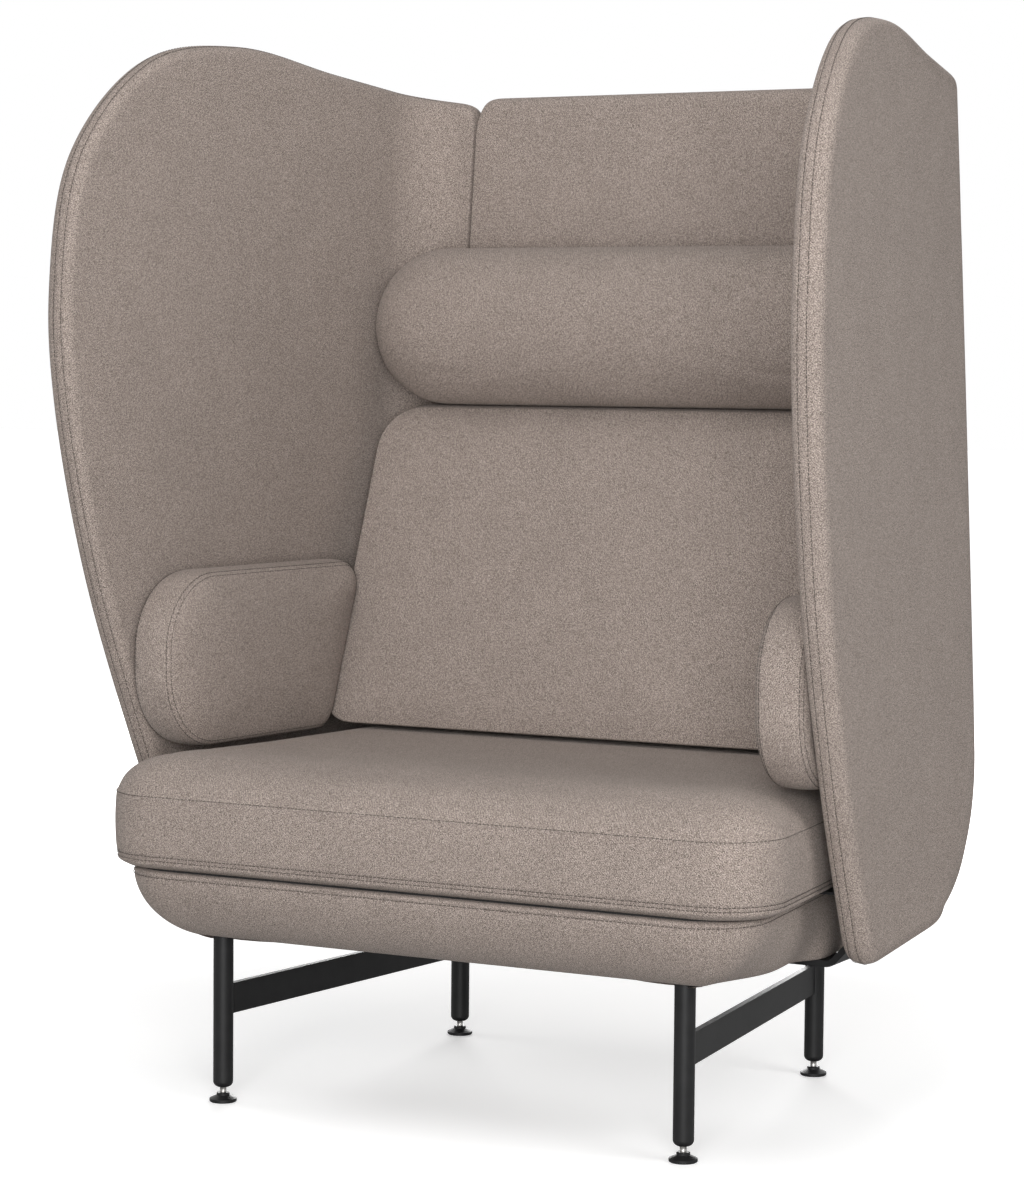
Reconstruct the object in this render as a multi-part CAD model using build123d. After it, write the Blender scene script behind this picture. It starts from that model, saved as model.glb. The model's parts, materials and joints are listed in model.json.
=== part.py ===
"""Single-seat high-back lounge sofa: winged shell, loose cushions, hull base, steel legs on levelling glides.

Frame: millimetres, +Z up, the sofa faces -Y, origin on the floor under the middle of the whole.
"""
from build123d import *
from math import acos, atan2, cos, pi, radians, sin, sqrt, tan
import os

os.makedirs("parts", exist_ok=True)

# Clearances
SOFT_GAP = 0.3          # soft pieces beside their neighbours
CROWN_GAP = 0.9         # soft piece resting on a crowned one
SLIDE_GAP = 0.08        # thread clearance of a glide, on the radius
SCREW_GAP = 0.1         # shank in its hole

# Legs, the four stand on a trapezoid that narrows to the back
LEG_FRONT_INSET = 117.0  # leg axis inside the base's front half width
LEG_REAR_INSET = 170.5
LEG_FRONT_Y = -271.0
LEG_REAR_Y = 244.0
LEG_DIA = 25.0
LEG_WALL = 2.0
LEG_FOOT_Z = 26.0       # lower end of the tube
FLANGE_SIZE = 50.0
FLANGE_THICK = 5.0
FLANGE_CORNER = 6.0
FLANGE_HOLE_PITCH = 34.0

# Side rails, flat bars on edge between front and rear leg
RAIL_TOP_Z = 147.0
RAIL_HEIGHT = 38.0
RAIL_THICK = 8.0

# Levelling glides
CAP_DOME_Z = 18.5       # lower end of the domed cap
CAP_PLUG_LENGTH = 16.0
STEM_DIA = 8.0
STEM_TOP_Z = 62.0
STEM_CHAMFER = 1.0
PAD_DIA = 34.0
PAD_RIM = 4.2
PAD_EDGE = 1.0
PAD_COLLAR_DIA = 16.4
PAD_CONE_TOP_Z = 8.2
PAD_TOP_Z = 11.6
PAD_SOCKET_Z = 5.0      # floor of the stem's socket

# Screws
SCREW_DIA = 5.0
SCREW_HEAD_DIA = 10.0
SCREW_LENGTH = 17.0

CORE_ROUND = 6.0        # edges of the foam blocks
LEAST_ROUND = 1.0       # corner of the timber box where its own round is used up

# Angles of the slices that draw in the end of a cushion
END_ANGLES = (0.0, 30.0, 55.0, 75.0)

# Seat plan, shared by base, deck and seat cushion: a trapezoid with round corners
SIDE_TAPER = 6.0        # degrees a side runs in towards the back
SEAT_CORNER = 80.0
REAR_CORNER = 45.0
BASE_REAR_CORNER = 110.0

# Hull base
BASE_FRONT_Y = -367.0
BASE_REAR_Y = 272.5
BASE_CLEAR = 4.3        # base's front half width inside the shell's half width
BASE_BOTTOM_Z = 204.0
BASE_RIM_Z = 297.0
BASE_TUCK = 110.0       # how far the hull's front runs under from its rim
BASE_TUCK_ANGLES = (90.0, 66.0, 45.0, 22.0, 0.0)

# Timber box inside the hull
CAVITY_INSET = 60.0
CAVITY_REAR_INSET = 4.5
CAVITY_CORNER = 40.0
BOARD_Z = 222.0
BOARD_THICK = 18.0
TIMBER_WIDTH = 32.0
DECK_THICK = 12.0
DECK_PROUD = 2.0        # deck above the rim, the dark line under the cushion

# Cross bar under the hull and deck brackets, both hold the wings
BAR_Y = 1.5
BAR_WIDTH = 60.0
BAR_THICK = 8.0
BAR_KNEE_CLEAR = 41.3   # where the bar bends up, inside the shell's half width
BAR_TAB_TOP_Z = 330.0
BAR_BEND = 16.0
BRACKET_Y = -91.5
BRACKET_WIDTH = 40.0
BRACKET_THICK = 3.0
BRACKET_FOOT = 76.0
BRACKET_HEIGHT = 52.0

# Shell: wings and back
SHELL_HALF = 437.3      # outer half width at the rear corner, at SHELL_REF_Z
SHELL_REF_Z = 800.0
SHELL_LEAN = 3.25       # degrees the sides lean in towards the top
SHELL_FLARE = 5.98      # degrees the sides open to the front, at SHELL_REF_Z
SHELL_TWIST = 5.57      # degrees of flare gained per metre of height
SHELL_TWIST_BEND = -2.6  # degrees per square metre, so that the flare is lost faster lower down
SHELL_BACK_Y = 371.7
SHELL_THICK = 40.0
SHELL_CORNER = 117.0
SEAM_STEP = 4.0         # seam beyond the end of the rear corner
TUCK_TOP_Z = 440.0      # below this the rear of the shell runs under
TUCK_HEIGHT = 200.0
TUCK_SHARE = 0.95       # how much of the tuck's quarter ellipse is drawn
TUCK_CORNER = 150.0
TUCK_BACK = 80.0
UPPER_LEVELS = (1360.0, 1050.0, 740.0, 440.0)
LOWER_LEVELS = (440.0, 385.0, 340.0, 305.0, 276.0, 254.0, 200.0)
WALL_RUN = 760.0        # wall drawn past the front edge, trimmed by the outline
WING_TIP = (-114.5, 214.0)
WING_EDGE = ((-219.5, 425.0), (-312.5, 655.0), (-364.5, 875.0), (-371.5, 1005.0), (-337.5, 1172.0),
             (-212.5, 1296.0), (-43.5, 1327.0), (153.5, 1306.0))
WING_TIP_ROUND = 26.0
WING_TIP_RUN = (-0.3, 1.0)
WING_REAR_RUN = (1.0, -0.07)
WING_REAR_BOTTOM_Z = 252.0
WING_REAR_TOP_Z = 1272.0
BACK_TOP_Z = 1284.0
BACK_BOTTOM_Z = 252.0
PLY_THICK = 12.0
PLY_INSET = 30.0

# Seat cushion
SEAT_FRONT_Y = -370.0
SEAT_REAR_Y = 282.5
SEAT_OVERHANG = 23.5    # seat cushion beyond the base at each side
SEAT_SEAM_Z = 394.0
SEAT_CROWN_Z = 436.0
SEAT_BAND = ((0.0, 12.0), (0.2, 2.0), (0.6, 0.0), (1.0, 3.0))  # share of height, inset
SEAT_TOP = ((0.0, 3.0), (0.35, 13.0), (0.66, 36.0), (0.88, 80.0), (1.0, 140.0))
SEAT_CORE_INSET = 40.0
SEAT_CORE_SKIN = 26.0

# Back cushion, a wedge with a reclined front
BACK_CLEAR = 47.3       # half width inside the shell's half width
BACK_FOOT_Y = 81.5
BACK_HEAD_Y = 243.5
BACK_HEAD_Z = 862.0
BACK_ROUNDS = (30.0, 20.0, 20.0, 40.0)  # front foot, rear foot, rear head, front head
BACK_CROWN = 10.0
BACK_SLICES = (-1.0, -0.5, 0.0, 0.5, 1.0)  # slices of the crowned part as shares of its half width
BACK_SIDE_ROUND = 30.0
BACK_CORE_INSET = 34.0

# Head bolster
BOLSTER_CLEAR = 42.3    # half width inside the shell's half width
BOLSTER_HEIGHT = 213.0
BOLSTER_DEPTH = 155.0
BOLSTER_ROUND = 0.49    # corner radius as a share of the height, just short of a half circle
# Share of depth, inset
BOLSTER_SLICES = ((0.0, 16.0), (0.1, 4.0), (0.38, 0.0), (0.7, 12.0), (0.9, 38.0), (1.0, 72.0))
BOLSTER_CORE_INSET = 36.0

# Arm cushions, boxed, turned with the taper of the seat
ARM_PRESS = 6.2         # how far the wing presses the crown of the outer face flat, at the front end
ARM_FRONT_Y = -268.5
ARM_TURN = 4.0          # degrees the arm runs in towards the back
ARM_LENGTH = 427.0
ARM_REAR_RAKE = 72.0    # the rear end leans back with the back cushion
ARM_HEIGHT = 220.0
ARM_GUSSET = 54.0
ARM_CROWN = 13.0
ARM_FACE = ((0.0, 0.0), (0.45, 6.0), (0.8, 18.0), (1.0, 42.0))  # share of crown, inset
ARM_FRONT_ROUND = 96.0
ARM_REAR_ROUND = 30.0
ARM_BASE_Z = 433.0
ARM_CORE_INSET = 26.0

BASE_FRONT_HALF = SHELL_HALF - BASE_CLEAR
SEAT_FRONT_HALF = BASE_FRONT_HALF + SEAT_OVERHANG
LEG_FRONT_HALF = BASE_FRONT_HALF - LEG_FRONT_INSET
LEG_REAR_HALF = BASE_FRONT_HALF - LEG_REAR_INSET
BAR_KNEE_X = SHELL_HALF - BAR_KNEE_CLEAR
BACK_HALF = SHELL_HALF - BACK_CLEAR
BOLSTER_HALF = SHELL_HALF - BOLSTER_CLEAR
DECK_TOP_Z = BASE_RIM_Z + DECK_PROUD
DECK_BOTTOM_Z = DECK_TOP_Z - DECK_THICK
BOARD_TOP_Z = BOARD_Z + BOARD_THICK
BACK_INNER_Y = SHELL_BACK_Y - SHELL_THICK
SEAT_BOTTOM_Z = DECK_TOP_Z + SOFT_GAP
LEG_PLACES = {
    "front_left": (-LEG_FRONT_HALF, LEG_FRONT_Y),
    "front_right": (LEG_FRONT_HALF, LEG_FRONT_Y),
    "rear_left": (-LEG_REAR_HALF, LEG_REAR_Y),
    "rear_right": (LEG_REAR_HALF, LEG_REAR_Y),
}


def save(solid, node):
    """Write one node."""
    solid.label = node
    export_step(solid, f"parts/{node}.step")


def inset_points(points, inset):
    """Move each side of a convex outline, drawn anticlockwise, inwards by its own inset."""
    count = len(points)
    lines = []
    for index in range(count):
        start = points[index]
        end = points[(index + 1) % count]
        run = (end[0] - start[0], end[1] - start[1])
        length = sqrt(run[0] ** 2 + run[1] ** 2)
        side = (run[0] / length, run[1] / length)
        lines.append(((start[0] - side[1] * inset[index], start[1] + side[0] * inset[index]), side))
    moved = []
    for index in range(count):
        (base_a, side_a) = lines[index - 1]
        (base_b, side_b) = lines[index]
        cross = side_a[0] * side_b[1] - side_a[1] * side_b[0]
        gap = (base_b[0] - base_a[0], base_b[1] - base_a[1])
        reach = (gap[0] * side_b[1] - gap[1] * side_b[0]) / cross
        moved.append((base_a[0] + side_a[0] * reach, base_a[1] + side_a[1] * reach))
    return moved


def rounded(points, radii):
    """Face of a convex outline with a round of its own at each corner."""
    count = len(points)
    arcs = []
    for index in range(count):
        corner = Vector(*points[index])
        before = (Vector(*points[index - 1]) - corner).normalized()
        after = (Vector(*points[(index + 1) % count]) - corner).normalized()
        half_angle = acos(before.dot(after)) / 2
        reach = radii[index] / tan(half_angle)
        middle = (before + after).normalized() * (radii[index] / sin(half_angle) - radii[index])
        arcs.append((corner + before * reach, corner + middle, corner + after * reach))
    edges = []
    for index in range(count):
        edges.append(ThreePointArc(*arcs[index]))
        edges.append(Line(arcs[index][2], arcs[(index + 1) % count][0]))
    return make_face(edges)


def seat_outline(front_y, rear_y, front_half):
    """Corners of the tapered seat plan, anticlockwise from the front left."""
    rear_half = front_half - (rear_y - front_y) * tan(radians(SIDE_TAPER))
    return [(-front_half, front_y), (front_half, front_y), (rear_half, rear_y), (-rear_half, rear_y)]


def seat_section(outline, inset, rear_inset, corner, rear_corner, z):
    """Horizontal slice of a piece with the seat's plan."""
    points = inset_points(outline, (inset, inset, rear_inset, inset))
    return Pos(0, 0, z) * rounded(points, (corner, corner, rear_corner, rear_corner))


def leg(place):
    """Tube with its welded flange, countersunk holes at the corners."""
    tube = Cylinder(LEG_DIA / 2, BOARD_Z - LEG_FOOT_Z, align=(Align.CENTER, Align.CENTER, Align.MIN))
    plate = extrude(RectangleRounded(FLANGE_SIZE, FLANGE_SIZE, FLANGE_CORNER), FLANGE_THICK)
    body = Pos(0, 0, LEG_FOOT_Z) * tube + Pos(0, 0, BOARD_Z - FLANGE_THICK) * plate
    body -= Cylinder(LEG_DIA / 2 - LEG_WALL, BOARD_Z, align=(Align.CENTER, Align.CENTER, Align.MIN))
    for spot in GridLocations(FLANGE_HOLE_PITCH, FLANGE_HOLE_PITCH, 2, 2):
        body -= spot * screw_space(SCREW_GAP)
    return Pos(*place, 0) * body


def screw_space(gap):
    """Countersunk screw pointing up from the flange, grown by a gap."""
    head_z = BOARD_Z - FLANGE_THICK
    cone = Cone(SCREW_HEAD_DIA / 2 + gap, SCREW_DIA / 2 + gap, (SCREW_HEAD_DIA - SCREW_DIA) / 2,
                align=(Align.CENTER, Align.CENTER, Align.MIN))
    shank = Cylinder(SCREW_DIA / 2 + gap, SCREW_LENGTH + gap, align=(Align.CENTER, Align.CENTER, Align.MIN))
    return Pos(0, 0, head_z) * (cone + shank)


def side_rail(side):
    """Flat bar on edge from front to rear leg, coped round both tubes."""
    front = Vector(side * LEG_FRONT_HALF, LEG_FRONT_Y)
    rear = Vector(side * LEG_REAR_HALF, LEG_REAR_Y)
    middle = (front + rear) / 2
    run = rear - front
    bar = Box(RAIL_THICK, run.length, RAIL_HEIGHT, align=(Align.CENTER, Align.CENTER, Align.MAX))
    turn = atan2(-run.X, run.Y) * 180 / pi
    bar = Pos(middle.X, middle.Y, RAIL_TOP_Z) * Rot(0, 0, turn) * bar
    for end in (front, rear):
        bar -= Pos(end.X, end.Y, 0) * Cylinder(LEG_DIA / 2, 2 * RAIL_TOP_Z)
    return bar.solids().sort_by(SortBy.VOLUME)[-1]


def leg_cap(place):
    """Domed end cap with the glide's thread, its plug inside the tube."""
    bore = STEM_DIA / 2 + SLIDE_GAP
    dome = LEG_FOOT_Z - CAP_DOME_Z
    shoulder = LEG_DIA / 2 - dome
    plug = LEG_DIA / 2 - LEG_WALL
    profile = make_face([
        Line((bore, CAP_DOME_Z), (shoulder, CAP_DOME_Z)),
        RadiusArc((shoulder, CAP_DOME_Z), (LEG_DIA / 2, LEG_FOOT_Z), -dome),
        Line((LEG_DIA / 2, LEG_FOOT_Z), (plug, LEG_FOOT_Z)),
        Line((plug, LEG_FOOT_Z), (plug, LEG_FOOT_Z + CAP_PLUG_LENGTH)),
        Line((plug, LEG_FOOT_Z + CAP_PLUG_LENGTH), (bore, LEG_FOOT_Z + CAP_PLUG_LENGTH)),
        Line((bore, LEG_FOOT_Z + CAP_PLUG_LENGTH), (bore, CAP_DOME_Z)),
    ])
    return Pos(*place, 0) * revolve(Plane.XZ * profile, Axis.Z)


def glide_stem(place):
    """Threaded stem, drawn at its outer diameter, with a chamfered top."""
    rod = Cylinder(STEM_DIA / 2, STEM_TOP_Z - PAD_SOCKET_Z, align=(Align.CENTER, Align.CENTER, Align.MIN))
    rod = chamfer(rod.edges().group_by(Axis.Z)[-1], STEM_CHAMFER)
    return Pos(*place, PAD_SOCKET_Z) * rod


def glide_pad(place):
    """Round floor pad: rim, cone and collar round the stem's socket."""
    rim = PAD_DIA / 2
    collar = PAD_COLLAR_DIA / 2
    socket = STEM_DIA / 2 + SLIDE_GAP
    profile = make_face(Polyline(
        (0, 0), (rim - PAD_EDGE, 0), (rim, PAD_EDGE), (rim, PAD_RIM), (collar, PAD_CONE_TOP_Z),
        (collar, PAD_TOP_Z - PAD_EDGE), (collar - PAD_EDGE, PAD_TOP_Z), (socket, PAD_TOP_Z),
        (socket, PAD_SOCKET_Z), (0, PAD_SOCKET_Z), close=True))
    return Pos(*place, 0) * revolve(Plane.XZ * profile, Axis.Z)


def base_hull():
    """Outer form of the base: a round-cornered hull that runs under at its front, less and less along its sides."""
    corners = (SEAT_CORNER, SEAT_CORNER, BASE_REAR_CORNER, BASE_REAR_CORNER)
    rear = seat_outline(BASE_FRONT_Y, BASE_REAR_Y, BASE_FRONT_HALF)[2:]
    slices = []
    for angle in BASE_TUCK_ANGLES:
        inset = BASE_TUCK * (1 - cos(radians(angle)))
        z = BASE_RIM_Z - (BASE_RIM_Z - BASE_BOTTOM_Z) * sin(radians(angle))
        half = BASE_FRONT_HALF - inset
        front_y = BASE_FRONT_Y + inset
        slices.append(Pos(0, 0, z) * rounded([(-half, front_y), (half, front_y), *rear], corners))
    return loft(slices)


def base_box(inset, low, high):
    """Upright box with the plan of the hull's cavity."""
    outline = seat_outline(BASE_FRONT_Y, BASE_REAR_Y, BASE_FRONT_HALF)
    corner = max(CAVITY_CORNER - inset, LEAST_ROUND)
    plan = seat_section(outline, CAVITY_INSET + inset, CAVITY_REAR_INSET + inset, corner, corner, low)
    return extrude(plan, high - low)


def base_cover(hull):
    """Upholstered hull, open on top, with room for the timber box, the flanges and the legs."""
    cover = hull - base_box(0, BOARD_Z, BASE_RIM_Z)
    pocket = FLANGE_SIZE + 2 * SOFT_GAP
    for place in LEG_PLACES.values():
        cover -= Pos(*place, BOARD_Z) * Box(pocket, pocket, FLANGE_THICK + SOFT_GAP,
                                            align=(Align.CENTER, Align.CENTER, Align.MAX))
        cover -= Pos(*place, BASE_BOTTOM_Z) * Cylinder(LEG_DIA / 2 + SOFT_GAP, 2 * BOARD_THICK)
    return cover.solids().sort_by(SortBy.VOLUME)[-1]


def base_board():
    """Plywood bottom of the timber box, drilled for the leg screws."""
    board = base_box(0, BOARD_Z, BOARD_TOP_Z)
    for place in LEG_PLACES.values():
        for spot in GridLocations(FLANGE_HOLE_PITCH, FLANGE_HOLE_PITCH, 2, 2):
            board -= Pos(*place, 0) * spot * screw_space(SCREW_GAP)
    return board


def base_timbers():
    """Four timbers on edge round the box: front, rear, left and right."""
    ring = base_box(0, BOARD_TOP_Z, DECK_BOTTOM_Z) - base_box(TIMBER_WIDTH, BOARD_TOP_Z, DECK_BOTTOM_Z)
    front_cut = BASE_FRONT_Y + CAVITY_INSET + TIMBER_WIDTH
    rear_cut = BASE_REAR_Y - CAVITY_REAR_INSET - TIMBER_WIDTH
    front = split(ring, Plane.XZ.offset(-front_cut), keep=Keep.TOP)
    rest = split(ring, Plane.XZ.offset(-front_cut), keep=Keep.BOTTOM)
    rear = split(rest, Plane.XZ.offset(-rear_cut), keep=Keep.BOTTOM)
    sides = split(rest, Plane.XZ.offset(-rear_cut), keep=Keep.TOP).solids().sort_by(Axis.X)
    return {"front": front, "rear": rear, "left": sides[0], "right": sides[-1]}


def seat_deck():
    """Dark board that closes the box and carries the seat cushion."""
    lower = base_box(0, DECK_BOTTOM_Z, BASE_RIM_Z)
    outline = seat_outline(BASE_FRONT_Y, BASE_REAR_Y, BASE_FRONT_HALF)
    top = extrude(seat_section(outline, DECK_THICK, DECK_THICK, SEAT_CORNER - DECK_THICK,
                               BASE_REAR_CORNER - DECK_THICK, BASE_RIM_Z), DECK_PROUD)
    return lower + top


def shell_plan(z):
    """Corner centre, corner radius and flare of the shell's plan at a height."""
    depth = min(max((TUCK_TOP_Z - z) / TUCK_HEIGHT, 0.0), TUCK_SHARE)
    tuck = 1 - sqrt(1 - depth ** 2)
    rise = (z - SHELL_REF_Z) / 1000
    flare = radians(SHELL_FLARE + SHELL_TWIST * rise + SHELL_TWIST_BEND * rise ** 2)
    half = SHELL_HALF + (SHELL_REF_Z - z) * tan(radians(SHELL_LEAN))
    radius = SHELL_CORNER + TUCK_CORNER * tuck
    centre_y = SHELL_BACK_Y - TUCK_BACK * tuck - radius
    centre_x = half + (SHELL_BACK_Y - centre_y) * tan(flare) - radius / cos(flare)
    return centre_x, centre_y, radius, flare


def wall_x(y, z, depth):
    """Where the straight part of the wing's wall lies, a depth in from its outer face."""
    centre_x, centre_y, radius, flare = shell_plan(z)
    return centre_x + (radius - depth) / cos(flare) + (centre_y - y) * tan(flare)


def wing_band(z, near, far):
    """Slice of the right wing's wall between two depths from its outer face."""
    centre_x, centre_y, radius, flare = shell_plan(z)
    seam_x = shell_plan(TUCK_TOP_Z)[0] + (TUCK_TOP_Z - z) * tan(radians(SHELL_LEAN)) - SEAM_STEP
    seam_x = min(seam_x, centre_x - SEAM_STEP / 2)
    bend = (flare + pi / 2) / 2
    rows = []
    for depth in (near, far):
        reach = radius - depth
        start = (centre_x + reach * cos(flare), centre_y + reach * sin(flare))
        front = (start[0] + WALL_RUN * sin(flare), start[1] - WALL_RUN * cos(flare))
        rows.append((front, start, (centre_x + reach * cos(bend), centre_y + reach * sin(bend)),
                     (centre_x, centre_y + reach), (seam_x, centre_y + reach)))
    outer, inner = rows
    face = make_face([
        Line(outer[0], outer[1]), ThreePointArc(*outer[1:4]), Line(outer[3], outer[4]),
        Line(outer[4], inner[4]),
        Line(inner[4], inner[3]), ThreePointArc(*inner[3:0:-1]), Line(inner[1], inner[0]),
        Line(inner[0], outer[0]),
    ])
    return Pos(0, 0, z) * face


def wing_outline(inset):
    """Side outline of a wing: reclined front edge, domed top, level bottom."""
    rear_y = SHELL_BACK_Y + SHELL_THICK
    chain = [WING_TIP, *WING_EDGE, (rear_y, WING_REAR_TOP_Z)]
    moved = []
    for index, point in enumerate(chain):
        before = chain[max(index - 1, 0)]
        after = chain[min(index + 1, len(chain) - 1)]
        run = Vector(after[0] - before[0], after[1] - before[1]).normalized()
        moved.append((point[0] + run.Y * inset, point[1] - run.X * inset))
    tip = (moved[0][0], moved[0][1] + 2 * inset)
    rear_low = (rear_y, WING_REAR_BOTTOM_Z + inset)
    edge = Spline(tip, *moved[1:], tangents=[WING_TIP_RUN, WING_REAR_RUN])
    face = make_face([edge, Line(moved[-1], rear_low), Line(rear_low, tip)])
    return fillet(face.vertices().sort_by(Axis.Y)[0], WING_TIP_ROUND)


def wing_part(near, far, inset):
    """Right wing's wall between two depths, trimmed to the side outline."""
    upper = loft([wing_band(z, near, far) for z in UPPER_LEVELS])
    lower = loft([wing_band(z, near, far) for z in LOWER_LEVELS])
    blank = extrude(Plane.YZ * wing_outline(inset), 2 * SHELL_HALF)
    return (upper + lower) & blank


def shell_room():
    """Space inside the shell above its tuck, which trims the cushions that lean on it."""
    slices = []
    for z in (*UPPER_LEVELS[:-1], TUCK_TOP_Z - SHELL_THICK / 4):
        centre_x, centre_y, radius, flare = shell_plan(z)
        reach = radius - SHELL_THICK - SOFT_GAP
        bend = (flare + pi / 2) / 2
        start = (centre_x + reach * cos(flare), centre_y + reach * sin(flare))
        front = (start[0] + WALL_RUN * sin(flare), start[1] - WALL_RUN * cos(flare))
        middle = (centre_x + reach * cos(bend), centre_y + reach * sin(bend))
        end = (centre_x, centre_y + reach)
        right = [front, start, middle, end]
        left = [(-x, y) for x, y in right]
        slices.append(Pos(0, 0, z) * make_face([
            Line(right[0], right[1]), ThreePointArc(*right[1:]), Line(right[3], left[3]),
            ThreePointArc(*left[:0:-1]), Line(left[1], left[0]), Line(left[0], right[0])]))
    return loft(slices)


def back_part(near, far, gap, inset):
    """Back panel between the two seams, between two depths from its outer face."""
    slices = []
    low = BACK_BOTTOM_Z + inset
    high = BACK_TOP_Z - inset
    inner_levels = [z for z in LOWER_LEVELS if low + 1 < z < high - 1]
    for z in [high, *inner_levels, low]:
        centre_x, centre_y, radius, flare = shell_plan(z)
        seam_x = shell_plan(TUCK_TOP_Z)[0] + (TUCK_TOP_Z - z) * tan(radians(SHELL_LEAN)) - SEAM_STEP
        half = min(seam_x, centre_x - SEAM_STEP / 2) - gap
        rear_y = centre_y + radius
        slices.append(Pos(0, 0, z) * make_face(Polyline(
            (-half, rear_y - near), (half, rear_y - near), (half, rear_y - far), (-half, rear_y - far),
            close=True)))
    return loft(slices, ruled=True)


def cross_bar():
    """Flat bar under the hull, bent up at both ends into tabs that lie on the wings."""
    far_y = BAR_Y + BAR_WIDTH / 2
    tab_x = wall_x(far_y, BAR_TAB_TOP_Z, SHELL_THICK) - SOFT_GAP
    rise = tab_x - BAR_KNEE_X
    line = FilletPolyline(
        (-tab_x + BAR_THICK / 2, BAR_TAB_TOP_Z),
        (-tab_x + BAR_THICK / 2, BASE_BOTTOM_Z - BAR_THICK / 2 + rise),
        (-BAR_KNEE_X, BASE_BOTTOM_Z - BAR_THICK / 2),
        (BAR_KNEE_X, BASE_BOTTOM_Z - BAR_THICK / 2),
        (tab_x - BAR_THICK / 2, BASE_BOTTOM_Z - BAR_THICK / 2 + rise),
        (tab_x - BAR_THICK / 2, BAR_TAB_TOP_Z),
        radius=BAR_BEND)
    return Pos(0, far_y, 0) * extrude(Plane.XZ * trace(line, BAR_THICK), BAR_WIDTH)


def wing_bracket():
    """Right bracket, an angle whose foot lies on the deck and whose post lies on the wing."""
    wall = wall_x(BRACKET_Y + BRACKET_WIDTH / 2, DECK_TOP_Z + BRACKET_HEIGHT, SHELL_THICK) - SOFT_GAP
    foot = Pos(wall, BRACKET_Y, DECK_TOP_Z) * Box(BRACKET_FOOT, BRACKET_WIDTH, BRACKET_THICK,
                                                  align=(Align.MAX, Align.CENTER, Align.MIN))
    post = Pos(wall, BRACKET_Y, DECK_TOP_Z) * Box(BRACKET_THICK, BRACKET_WIDTH, BRACKET_HEIGHT,
                                                  align=(Align.MAX, Align.CENTER, Align.MIN))
    return foot + post


def seat_cushion():
    """Seat cushion: upright band with a turned lower edge, sewn top edge and a crowned top."""
    outline = seat_outline(SEAT_FRONT_Y, SEAT_REAR_Y, SEAT_FRONT_HALF)
    solid = None
    for low, high, steps in ((SEAT_BOTTOM_Z, SEAT_SEAM_Z, SEAT_BAND), (SEAT_SEAM_Z, SEAT_CROWN_Z, SEAT_TOP)):
        slices = []
        for share, inset in steps:
            z = low + share * (high - low)
            slices.append(seat_section(outline, inset, inset, SEAT_CORNER, REAR_CORNER, z))
        piece = loft(slices)
        solid = solid + piece if solid else piece
    return solid


def seat_core():
    """Foam block inside the seat cushion."""
    outline = seat_outline(SEAT_FRONT_Y, SEAT_REAR_Y, SEAT_FRONT_HALF)
    low = SEAT_BOTTOM_Z + SEAT_CORE_SKIN / 2
    plan = seat_section(outline, SEAT_CORE_INSET, SEAT_CORE_INSET, SEAT_CORNER - SEAT_CORE_INSET / 2,
                        REAR_CORNER / 2, low)
    return extrude(plan, SEAT_SEAM_Z - low)


def back_outline(crown):
    """Side outline of the back cushion, with its front pushed out by a crown."""
    low = SEAT_CROWN_Z + CROWN_GAP
    rear = BACK_INNER_Y - SOFT_GAP
    points = [(BACK_FOOT_Y, low), (rear, low), (rear, BACK_HEAD_Z), (BACK_HEAD_Y, BACK_HEAD_Z)]
    return inset_points(points, (0, 0, 0, -crown))


def back_section(x, inset, crown):
    """Upright slice of the back cushion."""
    points = inset_points(back_outline(crown), (inset, inset, inset, inset))
    radii = [max(radius - inset / 2, CORE_ROUND) for radius in BACK_ROUNDS]
    return Plane.YZ.offset(x) * rounded(points, radii)


def back_cushion():
    """Reclined wedge, crowned across its front and drawn in at both sides."""
    reach = BACK_HALF - BACK_SIDE_ROUND
    body = loft([back_section(share * reach, 0, BACK_CROWN * (1 - share ** 2)) for share in BACK_SLICES])
    slices = []
    for angle in END_ANGLES:
        out = BACK_SIDE_ROUND * sin(radians(angle))
        inset = BACK_SIDE_ROUND * (1 - cos(radians(angle)))
        slices.append(back_section(reach + out, inset, 0))
    end = loft(slices)
    return (body + end + mirrored(end)) & shell_room()


def back_core():
    """Foam wedge inside the back cushion."""
    points = inset_points(back_outline(0), [BACK_CORE_INSET] * 4)
    half = BACK_HALF - BACK_CORE_INSET
    return extrude(Plane.YZ.offset(-half) * rounded(points, [CORE_ROUND] * 4), 2 * half)


def bolster_section(y, inset):
    """Upright slice of the head bolster, a pill seen from the front."""
    low = BACK_HEAD_Z + CROWN_GAP
    high = low + BOLSTER_HEIGHT
    points = [(-BOLSTER_HALF, low), (BOLSTER_HALF, low), (BOLSTER_HALF, high), (-BOLSTER_HALF, high)]
    points = inset_points(points, [inset] * 4)
    radius = BOLSTER_ROUND * (BOLSTER_HEIGHT - 2 * inset)
    return Plane((0, y, 0), x_dir=(1, 0, 0), z_dir=(0, -1, 0)) * rounded(points, [radius] * 4)


def head_bolster():
    """Pill-shaped cushion, full at its middle and drawn in towards front and back."""
    rear = BACK_INNER_Y - SOFT_GAP
    pill = loft([bolster_section(rear - share * BOLSTER_DEPTH, inset) for share, inset in BOLSTER_SLICES])
    return pill & shell_room()


def bolster_core():
    """Foam bar inside the head bolster."""
    rear = BACK_INNER_Y - SOFT_GAP - BOLSTER_CORE_INSET / 2
    plan = bolster_section(rear, BOLSTER_CORE_INSET)
    return extrude(plan, BOLSTER_DEPTH - 2 * BOLSTER_CORE_INSET)


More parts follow.
